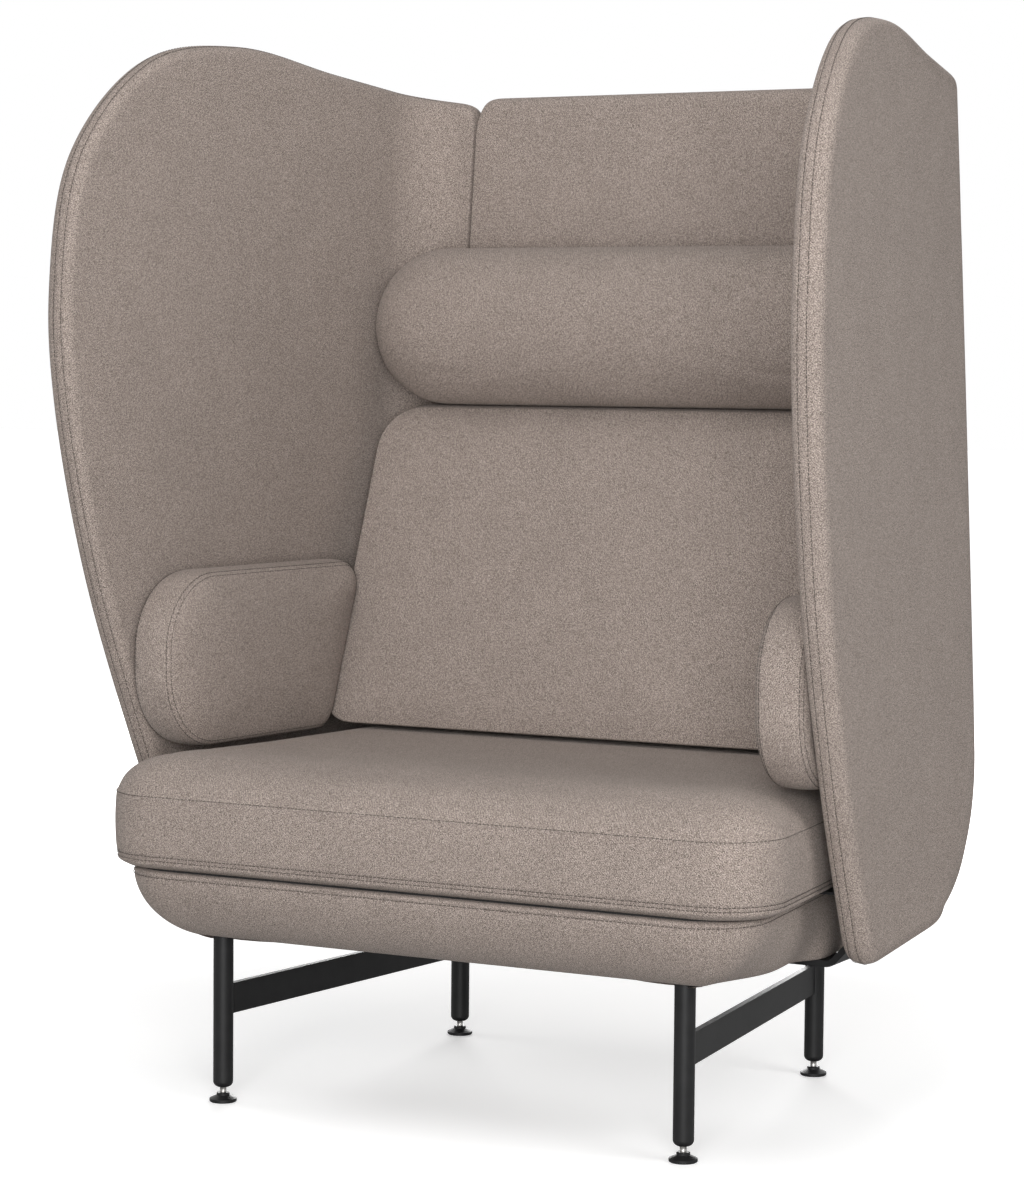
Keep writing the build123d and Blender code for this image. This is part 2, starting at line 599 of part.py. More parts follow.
def arm_section(side_step, inset):
    """Slice of the right arm cushion along its length, a step outwards from its middle."""
    turn = radians(ARM_TURN)
    along = Vector(-sin(turn), cos(turn), 0)
    out = Vector(cos(turn), sin(turn), 0)
    front_x = wall_x(ARM_FRONT_Y, ARM_BASE_Z + ARM_HEIGHT / 2, SHELL_THICK)
    front_x += ARM_PRESS - ARM_GUSSET / 2 - ARM_CROWN
    origin = Vector(front_x, ARM_FRONT_Y, ARM_BASE_Z) + out * side_step
    points = [(0, 0), (ARM_LENGTH - ARM_REAR_RAKE, 0), (ARM_LENGTH, ARM_HEIGHT), (0, ARM_HEIGHT)]
    points = inset_points(points, [inset] * 4)
    front = ARM_FRONT_ROUND - inset
    face = rounded(points, (front, ARM_REAR_ROUND, ARM_REAR_ROUND, front))
    return Plane(origin, x_dir=along, z_dir=out) * face


def arm_cushion():
    """Boxed cushion: straight gusset, crowned inner face, outer face pressed on by the wing."""
    seam = ARM_GUSSET / 2
    body = extrude(arm_section(-seam, 0), ARM_GUSSET)
    for side in (-1, 1):
        body += loft([arm_section(side * (seam + share * ARM_CROWN), inset) for share, inset in ARM_FACE])
    return body & shell_room()


def arm_core():
    """Foam block inside the arm cushion."""
    thick = ARM_GUSSET - ARM_CROWN
    return extrude(arm_section(-thick / 2, ARM_CORE_INSET), thick)


def mirrored(solid):
    """The same piece on the left."""
    return mirror(solid, about=Plane.YZ)


def build_legs():
    """Legs, rails, caps, stems, pads and the screws of the flanges."""
    screws = []
    for name, place in LEG_PLACES.items():
        save(leg(place), f"leg_{name}")
        save(leg_cap(place), f"leg_cap_{name}")
        save(glide_stem(place), f"glide_stem_{name}")
        save(glide_pad(place), f"glide_pad_{name}")
        for spot in GridLocations(FLANGE_HOLE_PITCH, FLANGE_HOLE_PITCH, 2, 2):
            screws.append((Pos(*place, 0) * spot * screw_space(0)).solid())
    save(Compound(screws), "leg_screws")
    save(side_rail(-1), "side_rail_left")
    save(side_rail(1), "side_rail_right")


def build_base(bracket):
    """Hull, timber box, deck, cross bar and brackets."""
    save(base_cover(base_hull()), "base_cover")
    save(base_board(), "base_board")
    for name, timber in base_timbers().items():
        save(timber, f"base_timber_{name}")
    save(seat_deck(), "seat_deck")
    save(cross_bar(), "cross_bar")
    save(bracket, "wing_bracket_right")
    save(mirrored(bracket), "wing_bracket_left")


def build_shell():
    """Wings and back, each an upholstered cover round its plywood."""
    ply_near = (SHELL_THICK - PLY_THICK) / 2
    ply_far = ply_near + PLY_THICK
    ply = wing_part(ply_near, ply_far, PLY_INSET)
    wing = wing_part(0, SHELL_THICK, 0) - ply
    save(wing, "wing_right")
    save(mirrored(wing), "wing_left")
    save(ply, "wing_ply_right")
    save(mirrored(ply), "wing_ply_left")
    back_ply = back_part(ply_near, ply_far, PLY_INSET, PLY_INSET)
    save(back_part(0, SHELL_THICK, SOFT_GAP, 0) - back_ply, "back_panel")
    save(back_ply, "back_ply")


def build_cushions(bracket):
    """Loose cushions, each a cover round its foam."""
    room = bracket + Pos(0, 0, SOFT_GAP) * bracket
    core = seat_core()
    save(seat_cushion() - core - room - mirrored(room), "seat_cushion")
    save(core, "seat_core")
    core = back_core()
    save(back_cushion() - core, "back_cushion")
    save(core, "back_core")
    core = bolster_core()
    save(head_bolster() - core, "head_bolster")
    save(core, "bolster_core")
    core = arm_core()
    arm = arm_cushion() - core
    save(arm, "arm_cushion_right")
    save(mirrored(arm), "arm_cushion_left")
    save(core, "arm_core_right")
    save(mirrored(core), "arm_core_left")


right_bracket = wing_bracket()
build_legs()
build_base(right_bracket)
build_shell()
build_cushions(right_bracket)
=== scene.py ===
"""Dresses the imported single-seat sofa: cloth wings, cushions and hull with their seams, and black metal.

It also sets the floor, the light and the camera.

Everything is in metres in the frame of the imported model: +Z up, the sofa faces -Y.
"""
import json
import math

import bpy
import numpy as np
from mathutils import Matrix, Vector


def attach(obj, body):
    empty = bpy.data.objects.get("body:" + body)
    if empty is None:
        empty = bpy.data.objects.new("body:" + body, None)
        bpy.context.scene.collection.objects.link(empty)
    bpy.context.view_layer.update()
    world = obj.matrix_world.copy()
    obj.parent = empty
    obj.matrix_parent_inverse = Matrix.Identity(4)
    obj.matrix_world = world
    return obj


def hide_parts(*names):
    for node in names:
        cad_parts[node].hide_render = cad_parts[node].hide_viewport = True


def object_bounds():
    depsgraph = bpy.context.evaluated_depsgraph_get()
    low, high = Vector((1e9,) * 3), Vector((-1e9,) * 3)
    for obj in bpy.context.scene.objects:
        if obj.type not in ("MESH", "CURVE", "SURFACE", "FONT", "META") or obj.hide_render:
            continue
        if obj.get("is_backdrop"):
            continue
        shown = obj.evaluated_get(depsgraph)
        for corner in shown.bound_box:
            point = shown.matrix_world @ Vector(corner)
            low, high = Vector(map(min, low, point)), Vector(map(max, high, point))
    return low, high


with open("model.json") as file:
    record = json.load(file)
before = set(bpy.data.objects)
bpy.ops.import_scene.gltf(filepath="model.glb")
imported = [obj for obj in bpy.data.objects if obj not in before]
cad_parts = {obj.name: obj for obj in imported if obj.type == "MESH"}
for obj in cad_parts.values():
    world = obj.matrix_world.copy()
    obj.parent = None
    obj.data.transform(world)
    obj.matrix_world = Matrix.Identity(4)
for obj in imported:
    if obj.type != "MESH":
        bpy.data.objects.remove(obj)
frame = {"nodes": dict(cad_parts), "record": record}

for leftover in ("Cube", "Light", "Camera"):
    if leftover in bpy.data.objects:
        bpy.data.objects.remove(bpy.data.objects[leftover])
cad_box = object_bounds()

BODY = "sofa"

# Photograph's camera
PHOTO_HEIGHT = 1178
FOCAL_PX = 3349.5
CAMERA_PLACE = (1.9258, -3.7482, 0.9252)
CAMERA_YAW = 27.893
CAMERA_PITCH = 3.919
CAMERA_ROLL = 0.492
SENSOR = 36.0

# Shell, as in the solids
SHELL_HALF = 0.4373
SHELL_REF_Z = 0.800
SHELL_LEAN = math.radians(3.25)
SHELL_FLARE = math.radians(5.98)
SHELL_TWIST = math.radians(5.57)
SHELL_TWIST_BEND = math.radians(-2.6)
SHELL_BACK_Y = 0.3717
SHELL_THICK = 0.040
SHELL_CORNER = 0.117
SEAM_STEP = 0.004
TUCK_TOP_Z = 0.440
TUCK_HEIGHT = 0.200
TUCK_SHARE = 0.95
TUCK_CORNER = 0.150
TUCK_BACK = 0.080
WING_TIP = (-0.1145, 0.214)
WING_EDGE = ((-0.2195, 0.425), (-0.3125, 0.655), (-0.3645, 0.875), (-0.3715, 1.005), (-0.3375, 1.172),
             (-0.2125, 1.296), (-0.0435, 1.327), (0.1535, 1.306))
WING_REAR_TOP = (0.457, 1.275)   # place along the wall, height
WING_REAR_LOW = (0.457, 0.2505)
WING_CROWN = (-0.3375, 1.172)    # where the front edge turns into the top
WING_FLAT_END = 0.100            # up to here a place along the wing is its depth in Y
EDGE_ROUND = 0.019
SEAM_ROUND = 0.004
SEAM_GAP = 0.0001
PRESS_GAP = 0.0008               # cushions pressed on the shell's inner face
BACK_TOP_Z = 1.284
BACK_LOW_Z = 0.252
SEAM_GROOVE = 0.0009
EDGE_SEAM_DEPTHS = (0.018, 0.029)   # twin needle seam round the wing's edge, from its outer face

# Seat plan
SIDE_TAPER = math.radians(6.0)
SEAT_CORNER = 0.080
REAR_CORNER = 0.045
BASE_REAR_CORNER = 0.110

# Hull base
BASE_FRONT_Y = -0.3670
BASE_REAR_Y = 0.2725
BASE_HALF = 0.433
BASE_RIM_Z = 0.297
BASE_HEIGHT = 0.093
BASE_TUCK = 0.122
SIDE_TUCK = 0.050
BAR_TUCK = 0.012
BASE_SEAM_DROP = 0.007

# Seat cushion
SEAT_FRONT_Y = -0.3700
SEAT_REAR_Y = 0.2825
SEAT_HALF = 0.4565
SEAT_LOW_Z = 0.2993
SEAT_TWIN_LEVELS = (0.3159, 0.3109)
SEAT_SEAM_Z = 0.394
SEAT_CROWN = 0.042
SEAT_SWELL = 0.003
SEAT_ROUND = 0.017          # how soon the top rises from its seam
ARM_REST_Z = 0.4287         # the top is pressed down to here by the arm cushions
BACK_REST_Z = 0.4331        # and to here by the back cushion

# Back cushion
BACK_HALF = 0.389
BACK_FOOT_Y = 0.0815
BACK_FOOT_Z = 0.4372
BACK_HEAD_Y = 0.2435
BACK_HEAD_Z = 0.862
BACK_REAR_Y = 0.3313
BACK_CROWN = 0.008
BACK_ROUND = 0.030         # how soon the front rises from its seam
BACK_PILLOW = 0.005
BACK_SWELL = 0.006

# Head bolster
BOLSTER_HALF = 0.400
BOLSTER_LOW_Z = 0.8632
BOLSTER_HEIGHT = 0.2125
BOLSTER_SEAM_Y = 0.2570
BOLSTER_FRONT = 0.0807
BOLSTER_REAR = 0.0740
BOLSTER_SWELL = 0.003
FRONT_DOME_POWER = 2.1     # 2 is a true round, more is squarer
REAR_DOME_POWER = 3.0

# Arm cushions
ARM_FRONT_X = 0.427
ARM_FRONT_Y = -0.2685
ARM_BASE_Z = 0.4332
ARM_TURN = math.radians(4.0)
ARM_LENGTH = 0.427
ARM_RAKE = 0.072
ARM_HEIGHT = 0.2195
ARM_GUSSET = 0.054
ARM_CROWN = 0.013          # outer face, against the wing
ARM_INNER_CROWN = 0.022
ARM_ROUND = 0.022          # how soon a face rises from its seam
ARM_SWELL = 0.004
ARM_STITCH = 0.0026        # stitch line beside a seam
ARM_FRONT_ROUND = 0.096
ARM_REAR_ROUND = 0.030
ARM_BACK_GAP = 0.010       # its rear end stays this far before the back cushion's seam plane

THREAD_PITCH = 0.00125

# Sewing and swelling
STITCH_PITCH = 0.0054
STITCH_LENGTH = 0.0042
STITCH_RADIUS = 0.00050
STITCH_SAMPLES = 700
HELD_EDGE = 0.012         # cloth held stiff beside a seam
SWELL_PRESSURE = 4.0
SWELL_FRAMES = 16

# Melange yarns
YARN_DARK = (0.060, 0.047, 0.040)
YARN_MIDDLE = (0.294, 0.242, 0.212)
YARN_LIGHT = (0.590, 0.503, 0.450)

# Light
WORLD_LIGHT = 0.14
KEY_LIGHT = 184.0
TOP_LIGHT = 40.0
SIDE_LIGHT = 54.0
REAR_LIGHT = 150.0
FAR_LIGHT = 30.0
FLOOR_GLOW = 0.35


def smooth(edge0, edge1, value):
    """Smooth step from 0 at edge0 to 1 at edge1."""
    share = np.clip((value - edge0) / (edge1 - edge0), 0.0, 1.0)
    return share * share * (3 - 2 * share)


def dip(value, centre, width):
    """Bell of height 1 round a centre."""
    return np.exp(-((value - centre) / width) ** 2)


def spline_through(points, steps):
    """Dense smooth line through a few points."""
    pts = np.array(points, float)
    ends = np.vstack([2 * pts[0] - pts[1], pts, 2 * pts[-1] - pts[-2]])
    share = np.linspace(0, 1, steps, endpoint=False)[:, None]
    rows = []
    for k in range(1, len(ends) - 2):
        a, b, c, d = ends[k - 1:k + 3]
        gaps = [max(np.linalg.norm(q - p) ** 0.5, 1e-6) for p, q in ((a, b), (b, c), (c, d))]
        tangent_b = ((b - a) / gaps[0] - (c - a) / (gaps[0] + gaps[1]) + (c - b) / gaps[1]) * gaps[1]
        tangent_c = ((c - b) / gaps[1] - (d - b) / (gaps[1] + gaps[2]) + (d - c) / gaps[2]) * gaps[1]
        cube, square = share ** 3, share ** 2
        rows.append((2 * cube - 3 * square + 1) * b + (cube - 2 * square + share) * tangent_b
                    + (3 * square - 2 * cube) * c + (cube - square) * tangent_c)
    rows.append(pts[-1:])
    return np.vstack(rows)


class Outline:
    """Closed outline, anticlockwise, that is walked by four sides and knows its outward normal."""

    def __init__(self, points, corners):
        self.points = np.array(points, float)
        closed = np.vstack([self.points, self.points[:1]])
        self.run = np.concatenate([[0], np.cumsum(np.linalg.norm(np.diff(closed, axis=0), axis=1))])
        self.length = self.run[-1]
        marks = []
        for corner in corners:
            marks.append(self.run[np.argmin(np.linalg.norm(self.points - corner, axis=1))])
        marks = np.array(marks)
        for k in range(1, 4):
            marks[k] += self.length * (marks[k] < marks[k - 1])
        self.marks = np.append(marks, marks[0] + self.length)
        ahead = np.roll(self.points, -1, axis=0) - np.roll(self.points, 1, axis=0)
        ahead /= np.linalg.norm(ahead, axis=1)[:, None]
        self.normals = np.column_stack([ahead[:, 1], -ahead[:, 0]])
        self.centre = (self.points.min(0) + self.points.max(0)) / 2

    def at_run(self, run):
        """Points and outward normals at lengths along the outline."""
        wrapped = np.mod(run, self.length)
        closed = np.vstack([self.points, self.points[:1]])
        normals = np.vstack([self.normals, self.normals[:1]])
        place = np.column_stack([np.interp(wrapped, self.run, closed[:, k]) for k in (0, 1)])
        out = np.column_stack([np.interp(wrapped, self.run, normals[:, k]) for k in (0, 1)])
        return place, out / np.linalg.norm(out, axis=1)[:, None]

    def at_side(self, place):
        """Lengths along the outline for places counted in sides, 0 to 4."""
        return np.interp(place, np.arange(5), self.marks)


def rounded_outline(points, radii, steps=14):
    """Outline of a convex polygon with rounded corners, its four sides ending at the rounds' middles."""
    pts = np.array(points, float)
    count = len(pts)
    rows, middles = [], []
    for k in range(count):
        corner = pts[k]
        before = pts[k - 1] - corner
        after = pts[(k + 1) % count] - corner
        before_len, after_len = np.linalg.norm(before), np.linalg.norm(after)
        before, after = before / before_len, after / after_len
        half = math.acos(np.clip(before @ after, -1, 1)) / 2
        reach = radii[k] / math.tan(half)
        heart = corner + (before + after) / np.linalg.norm(before + after) * radii[k] / math.sin(half)
        start, end = corner + before * reach - heart, corner + after * reach - heart
        first = math.atan2(start[1], start[0])
        turn = (math.atan2(end[1], end[0]) - first) % (2 * math.pi)
        angles = first + turn * np.linspace(0, 1, steps)
        rows.append(heart + radii[k] * np.column_stack([np.cos(angles), np.sin(angles)]))
        middle = first + turn / 2
        middles.append(heart + radii[k] * np.array([math.cos(middle), math.sin(middle)]))
    dense = []
    for k in range(count):
        dense.append(rows[k])
        gap = np.linspace(rows[k][-1], rows[(k + 1) % count][0], 26)[1:-1]
        dense.append(gap)
    return Outline(np.vstack(dense), middles)


def softened(points, corner, reach):
    """Closed line of points with the corner nearest to a place cut round over a reach on both sides."""
    pts = np.array(points, float)
    at = np.argmin(np.linalg.norm(pts - corner, axis=1))
    pts = np.roll(pts, len(pts) // 2 - at, axis=0)
    at = len(pts) // 2
    gaps = np.linalg.norm(np.diff(pts, axis=0), axis=1)
    run = np.concatenate([[0], np.cumsum(gaps)])
    keep_before = run < run[at] - reach
    keep_after = run > run[at] + reach
    start = np.array([np.interp(run[at] - reach, run, pts[:, k]) for k in (0, 1)])
    end = np.array([np.interp(run[at] + reach, run, pts[:, k]) for k in (0, 1)])
    share = np.linspace(0, 1, 16)[:, None]
    bend = (1 - share) ** 2 * start + 2 * share * (1 - share) * pts[at] + share ** 2 * end
    return np.vstack([pts[keep_before], bend, pts[keep_after]])


def lattice(rings):
    """Square lattice of rings: each vertex's ring and place in sides, the quads and the rim's order."""
    span = np.arange(-rings, rings + 1)
    col, row = [part.ravel() for part in np.meshgrid(span, span, indexing="ij")]
    ring = np.maximum(abs(col), abs(row))
    safe = np.maximum(ring, 1)
    place = np.where(row == -ring, (col + ring) / (2 * safe), 0.0)
    right = (col == ring) & (row > -ring)
    place = np.where(right, 1 + (row + ring) / (2 * safe), place)
    top = (row == ring) & (col < ring)
    place = np.where(top, 2 + (ring - col) / (2 * safe), place)
    left = (col == -ring) & (row < ring) & (row > -ring)
    place = np.where(left, 3 + (ring - row) / (2 * safe), place)
    wide = 2 * rings + 1
    base = (np.arange(wide - 1)[:, None] * wide + np.arange(wide - 1)[None, :]).ravel()
    quads = np.column_stack([base, base + wide, base + wide + 1, base + 1])
    rim = np.where(ring == rings)[0]
    rim = rim[np.argsort(place[rim])]
    return ring, place, quads, rim


class Pad:
    """Closed cloth form: a front and a rear panel on one outline, joined by a band of rows.

    front_inset and rear_inset say how far in the panels begin, from the outline's normals and points.
    """

    def __init__(self, outline, borders, inner, front_inset, rear_inset=None):
        self.outline = outline
        self.rings = len(borders) + inner
        self.ring, place, self.quads, self.rim = lattice(self.rings)
        self.run = outline.at_side(place)
        self.point, self.normal = outline.at_run(self.run)
        self.border = np.array(borders)[np.clip(self.rings - self.ring, 0, len(borders) - 1)]
        self.inner = inner
        self.front_flat, self.front_in = self.panel(front_inset)
        self.rear_flat, self.rear_in = self.panel(rear_inset or front_inset)
        self.rim_point, self.rim_normal = self.point[self.rim], self.normal[self.rim]

    def panel(self, begin):
        """Flat places of a panel's vertices and their distance from the panel's own edge."""
        arm = self.point - self.outline.centre
        support = np.maximum((arm * self.normal).sum(1), 0.02)
        first = np.broadcast_to(begin(self.normal, self.point), len(support))
        keep = 1 - (self.border + first) / support
        keep = np.where(self.ring <= self.inner, keep * self.ring / (self.inner + 1), keep)
        return self.outline.centre + arm * keep[:, None], support * (1 - keep) - first

    def build(self, name, front, rear, rows, place, material, free=(False, False)):
        """Mesh object from the panels' heights, band rows (inset, height) from front to rear and a 3D place.

        A free front or rear panel may swell later; everything else is held.
        """
        count = len(self.ring)
        flat = [self.front_flat, self.rear_flat]
        height = [front(self.front_in, self.front_flat), rear(self.rear_in, self.rear_flat)]
        uv = [self.front_flat, self.rear_flat + np.array([3.0, 0.0])]
        loops = [self.rim]
        total = 2 * count
        run = np.mod(self.run[self.rim] - self.run[self.rim[0]], self.outline.length)
        for inset, level in rows:
            moved = self.rim_point - self.rim_normal * np.broadcast_to(inset, len(self.rim))[:, None]
            level = np.broadcast_to(level, len(self.rim))
            flat.append(moved)
            height.append(level)
            uv.append(np.column_stack([run, level + 5.0]))
            loops.append(np.arange(total, total + len(self.rim)))
            total += len(self.rim)
        loops.append(self.rim + count)
        quads = [self.quads, self.quads[:, ::-1] + count]
        for upper, lower in zip(loops[:-1], loops[1:]):
            quads.append(np.column_stack([lower, np.roll(lower, -1), np.roll(upper, -1), upper]))
        heights = [np.broadcast_to(part, len(spots)) for part, spots in zip(height, flat)]
        piece = cloth_object(name, place(np.vstack(flat), np.concatenate(heights)), np.vstack(quads),
                             np.vstack(uv), material)
        held = np.ones(total)
        for panel, inset in enumerate((self.front_in, self.rear_in)):
            if free[panel]:
                held[panel * count:(panel + 1) * count] = 1 - smooth(0.0, HELD_EDGE, inset)
        group = piece.vertex_groups.new(name="held")
        for index, weight in enumerate(held.tolist()):
            group.add([index], weight, "REPLACE")
        return piece

    def line(self, inset, level, place):
        """Closed 3D line round the pad at an inset from its outline and a level of its band."""
        point, normal = self.outline.at_run(np.linspace(0, self.outline.length, STITCH_SAMPLES))
        inset = inset(normal, point) if callable(inset) else np.full(STITCH_SAMPLES, inset)
        return place(point - normal * inset[:, None], np.full(STITCH_SAMPLES, level))


def even(height):
    """Panel that lies at one height."""
    return lambda inset, flat: np.full(len(inset), height)


def cloth_object(name, verts, quads, uv, material):
    """Smooth mesh object with cloth coordinates in metres."""
    mesh = bpy.data.meshes.new(name)
    mesh.from_pydata(verts.tolist(), [], quads.tolist())
    layer = mesh.uv_layers.new(name="cloth")
    layer.data.foreach_set("uv", uv[quads.ravel()].astype(np.float32).ravel())
    mesh.polygons.foreach_set("use_smooth", [True] * len(mesh.polygons))
    mesh.materials.append(material)
    piece = bpy.data.objects.new(name, mesh)
    bpy.context.scene.collection.objects.link(piece)
    return piece


def swell(piece, cap, press=None):
    """Lets a piece's free cloth swell under pressure within a cap, and presses it where told."""
    mesh = piece.data
    start = np.empty(3 * len(mesh.vertices))
    mesh.vertices.foreach_get("co", start)
    moved = start.copy()
    cloth = piece.modifiers.new("swell", "CLOTH")
    cloth.settings.quality = 6
    cloth.settings.use_pressure = True
    cloth.settings.uniform_pressure_force = SWELL_PRESSURE
    cloth.settings.vertex_group_mass = "held"
    cloth.settings.effector_weights.gravity = 0.0
    cloth.collision_settings.use_collision = False
    for step in range(1, SWELL_FRAMES + 1):
        bpy.context.scene.frame_set(step)
    shape = piece.evaluated_get(bpy.context.evaluated_depsgraph_get())
    shape.data.vertices.foreach_get("co", moved)
    piece.modifiers.remove(cloth)
    bpy.context.scene.frame_set(1)
    start, moved = start.reshape(-1, 3), moved.reshape(-1, 3)
    step = moved - start
    far = np.maximum(np.linalg.norm(step, axis=1), 1e-9)
    points = start + step * (cap * np.tanh(far / cap) / far)[:, None]
    if press:
        points = press(points)
    mesh.vertices.foreach_set("co", points.ravel())
    mesh.update()


def sew(name, lines, material):
    """All stitches along some lines as one object of short round threads."""
    rings = ((-0.5, 0.4), (-0.36, 1.0), (0.36, 1.0), (0.5, 0.4))
    sides = 5
    turns = np.arange(sides) * 2 * math.pi / sides
    verts, faces, total = [], [], 0
    for line in lines:
        run = np.concatenate([[0], np.cumsum(np.linalg.norm(np.diff(line, axis=0), axis=1))])
        count = int(run[-1] / STITCH_PITCH)
        centre = (np.arange(count) + 0.5) * run[-1] / count

        def at(place):
            return np.column_stack([np.interp(place, run, line[:, k]) for k in range(3)])

        ahead = at(centre + STITCH_LENGTH / 2) - at(centre - STITCH_LENGTH / 2)
        ahead /= np.linalg.norm(ahead, axis=1)[:, None]
        upright_run = abs(ahead[:, 2:]) > 0.9
        side = np.cross(ahead, np.where(upright_run, (1.0, 0.0, 0.0), (0.0, 0.0, 1.0)))
        side /= np.linalg.norm(side, axis=1)[:, None]
        other = np.cross(ahead, side)
        for share, thick in rings:
            spot = at(centre) + ahead * (share * STITCH_LENGTH)
            for turn in turns:
                out = side * math.cos(turn) + other * math.sin(turn)
                verts.append(spot + STITCH_RADIUS * thick * out)
        first = total + np.arange(count)
        corner = [[first + (k * sides + s) * count for s in range(sides)] for k in range(len(rings))]
        for low, high in zip(corner[:-1], corner[1:]):
            for s in range(sides):
                after = (s + 1) % sides
                faces += np.column_stack([low[s], low[after], high[after], high[s]]).tolist()
        faces += np.column_stack(corner[0][::-1]).tolist() + np.column_stack(corner[-1]).tolist()
        total += count * sides * len(rings)
    mesh = bpy.data.meshes.new(name)
    mesh.from_pydata(np.vstack(verts).tolist(), [], faces)
    mesh.polygons.foreach_set("use_smooth", [True] * len(mesh.polygons))
    mesh.materials.append(material)
    piece = bpy.data.objects.new(name, mesh)
    bpy.context.scene.collection.objects.link(piece)
    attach(piece, BODY)


def dress(piece, nodes, levels=1):
    """Seat a cloth piece in the frame: it rides on the sofa, stands for its solids and is smoothed."""
    if levels:
        soft = piece.modifiers.new("smooth", "SUBSURF")
        soft.levels = levels
        soft.render_levels = levels
    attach(piece, BODY)
    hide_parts(*nodes)


def shell_plan(z):
    """Corner centre, corner radius and flare of the shell's plan at heights z."""
    depth = np.clip((TUCK_TOP_Z - z) / TUCK_HEIGHT, 0.0, TUCK_SHARE)
    tuck = 1 - np.sqrt(1 - depth ** 2)
    rise = z - SHELL_REF_Z
    flare = SHELL_FLARE + SHELL_TWIST * rise + SHELL_TWIST_BEND * rise ** 2
    half = SHELL_HALF + (SHELL_REF_Z - z) * math.tan(SHELL_LEAN)
    radius = SHELL_CORNER + TUCK_CORNER * tuck
    centre_y = SHELL_BACK_Y - TUCK_BACK * tuck - radius
    centre_x = half + (SHELL_BACK_Y - centre_y) * np.tan(flare) - radius / np.cos(flare)
    return centre_x, centre_y, radius, flare


def seam_x(z):
    """Where wing and back panel meet."""
    straight = shell_plan(np.array(TUCK_TOP_Z))[0] + (TUCK_TOP_Z - z) * math.tan(SHELL_LEAN) - SEAM_STEP
    return np.minimum(straight, shell_plan(z)[0] - SEAM_STEP / 2)


def shell_point(along, z, depth):
    """Points of the right wing's wall: along it from the front, at a height, in from its outer face."""
    centre_x, centre_y, radius, flare = shell_plan(z)
    start = centre_y + radius * np.sin(flare)
    arc = radius * (math.pi / 2 - flare)
    seam_run = start + arc + centre_x - seam_x(z)
    stretch = (seam_run - WING_FLAT_END) / (WING_REAR_TOP[0] - WING_FLAT_END)
    along = np.where(along > WING_FLAT_END, WING_FLAT_END + (along - WING_FLAT_END) * stretch, along)
    run = along - start
    angle = flare + np.clip(run, 0, arc) / radius
    reach = radius - depth
    before = np.minimum(run, 0)
    beyond = np.maximum(run - arc, 0)
    x = centre_x + reach * np.cos(angle) - before * np.tan(flare) - beyond
    y = centre_y + reach * np.sin(angle) + before
    return np.column_stack([x, y, z])


def inside_shell(points):
    """Presses points that would stand in the shell's wall back onto its inner face."""
    centre_x, centre_y, radius, flare = shell_plan(points[:, 2])
    reach = radius - SHELL_THICK - PRESS_GAP
    side = np.sign(points[:, 0])
    x, y = abs(points[:, 0]), points[:, 1]
    x = np.minimum(x, centre_x + reach / np.cos(flare) + (centre_y - y) * np.tan(flare))
    right, ahead = np.maximum(x - centre_x, 0), np.maximum(y - centre_y, 0)
    scale = reach / np.maximum(np.hypot(right, ahead), reach)
    corner = (right > 0) & (ahead > 0)
    x = np.where(corner, centre_x + right * scale, x)
    y = np.where(corner, centre_y + ahead * scale, np.minimum(y, centre_y + reach))
    return np.column_stack([side * x, y, points[:, 2]])


def wing_outline():
    """Side outline of a wing as place along the wall and height."""
    chain = [WING_TIP, *WING_EDGE, WING_REAR_TOP]
    edge = spline_through(chain, 24)[::-1]
    rear = np.linspace(WING_REAR_LOW, WING_REAR_TOP, 60)[:-1]
    low = np.linspace(WING_TIP, WING_REAR_LOW, 40)[1:-1]
    points = np.vstack([low, rear, edge])
    for corner, reach in ((WING_REAR_TOP, 0.020), (WING_REAR_LOW, 0.012), (WING_TIP, 0.032)):
        points = softened(points, corner, reach)
    return Outline(points, [WING_TIP, WING_REAR_LOW, WING_REAR_TOP, WING_CROWN])


def edge_rows(pad, begin, thick, seams=()):
    """Band rows of a rounded edge from the front face to the rear one, with any seams run along it."""
    radius = np.broadcast_to(begin(pad.rim_normal, pad.rim_point), len(pad.rim))
    depths = list(thick * (0.5 - 0.5 * np.cos(np.pi * np.linspace(0, 1, 12)[1:-1])))
    for seam in seams:
        depths = [depth for depth in depths if abs(depth - seam) > 0.0025]
        depths += [seam - 0.0016, seam, seam + 0.0016]
    rows = []
    for depth in sorted(depths):
        bulge = math.sin(math.acos(1 - 2 * depth / thick)) ** 0.75
        groove = SEAM_GROOVE * sum(dip(depth, seam, 0.0012) for seam in seams)
        rows.append((radius * (1 - bulge) + groove, depth))
    return rows


def wing_edge(normal, point):
    """Round of the wing's edge: full where it is free, tight along the seam."""
    return EDGE_ROUND + (SEAM_ROUND - EDGE_ROUND) * smooth(0.75, 0.97, normal[:, 0])


def wing_place(side):
    """Maps place along the wall, height and depth to a wing."""
    def place(flat, depth):
        points = shell_point(flat[:, 0], flat[:, 1], depth)
        points[:, 0] *= side
        return points
    return place


def make_wing(name, side, material):
    """Wing with a round edge, and the lines of the twin needle seam along it."""
    pad = Pad(wing_outline(), (0.0, 0.006, 0.014, 0.026, 0.042), 16, wing_edge)
    rows = edge_rows(pad, wing_edge, SHELL_THICK, EDGE_SEAM_DEPTHS)
    place = wing_place(side)
    piece = pad.build(name, even(0.0), even(SHELL_THICK), rows, place, material)
    if side < 0:
        piece.data.flip_normals()
    lines = []
    for depth in EDGE_SEAM_DEPTHS:
        share = 1 - math.sin(math.acos(1 - 2 * depth / SHELL_THICK)) ** 0.75
        line = pad.line(lambda *edge: wing_edge(*edge) * share + SEAM_GROOVE / 2, depth, place)
        lines.append(line[line[:, 1] < SHELL_BACK_Y - SHELL_THICK - 0.002])
    return piece, lines


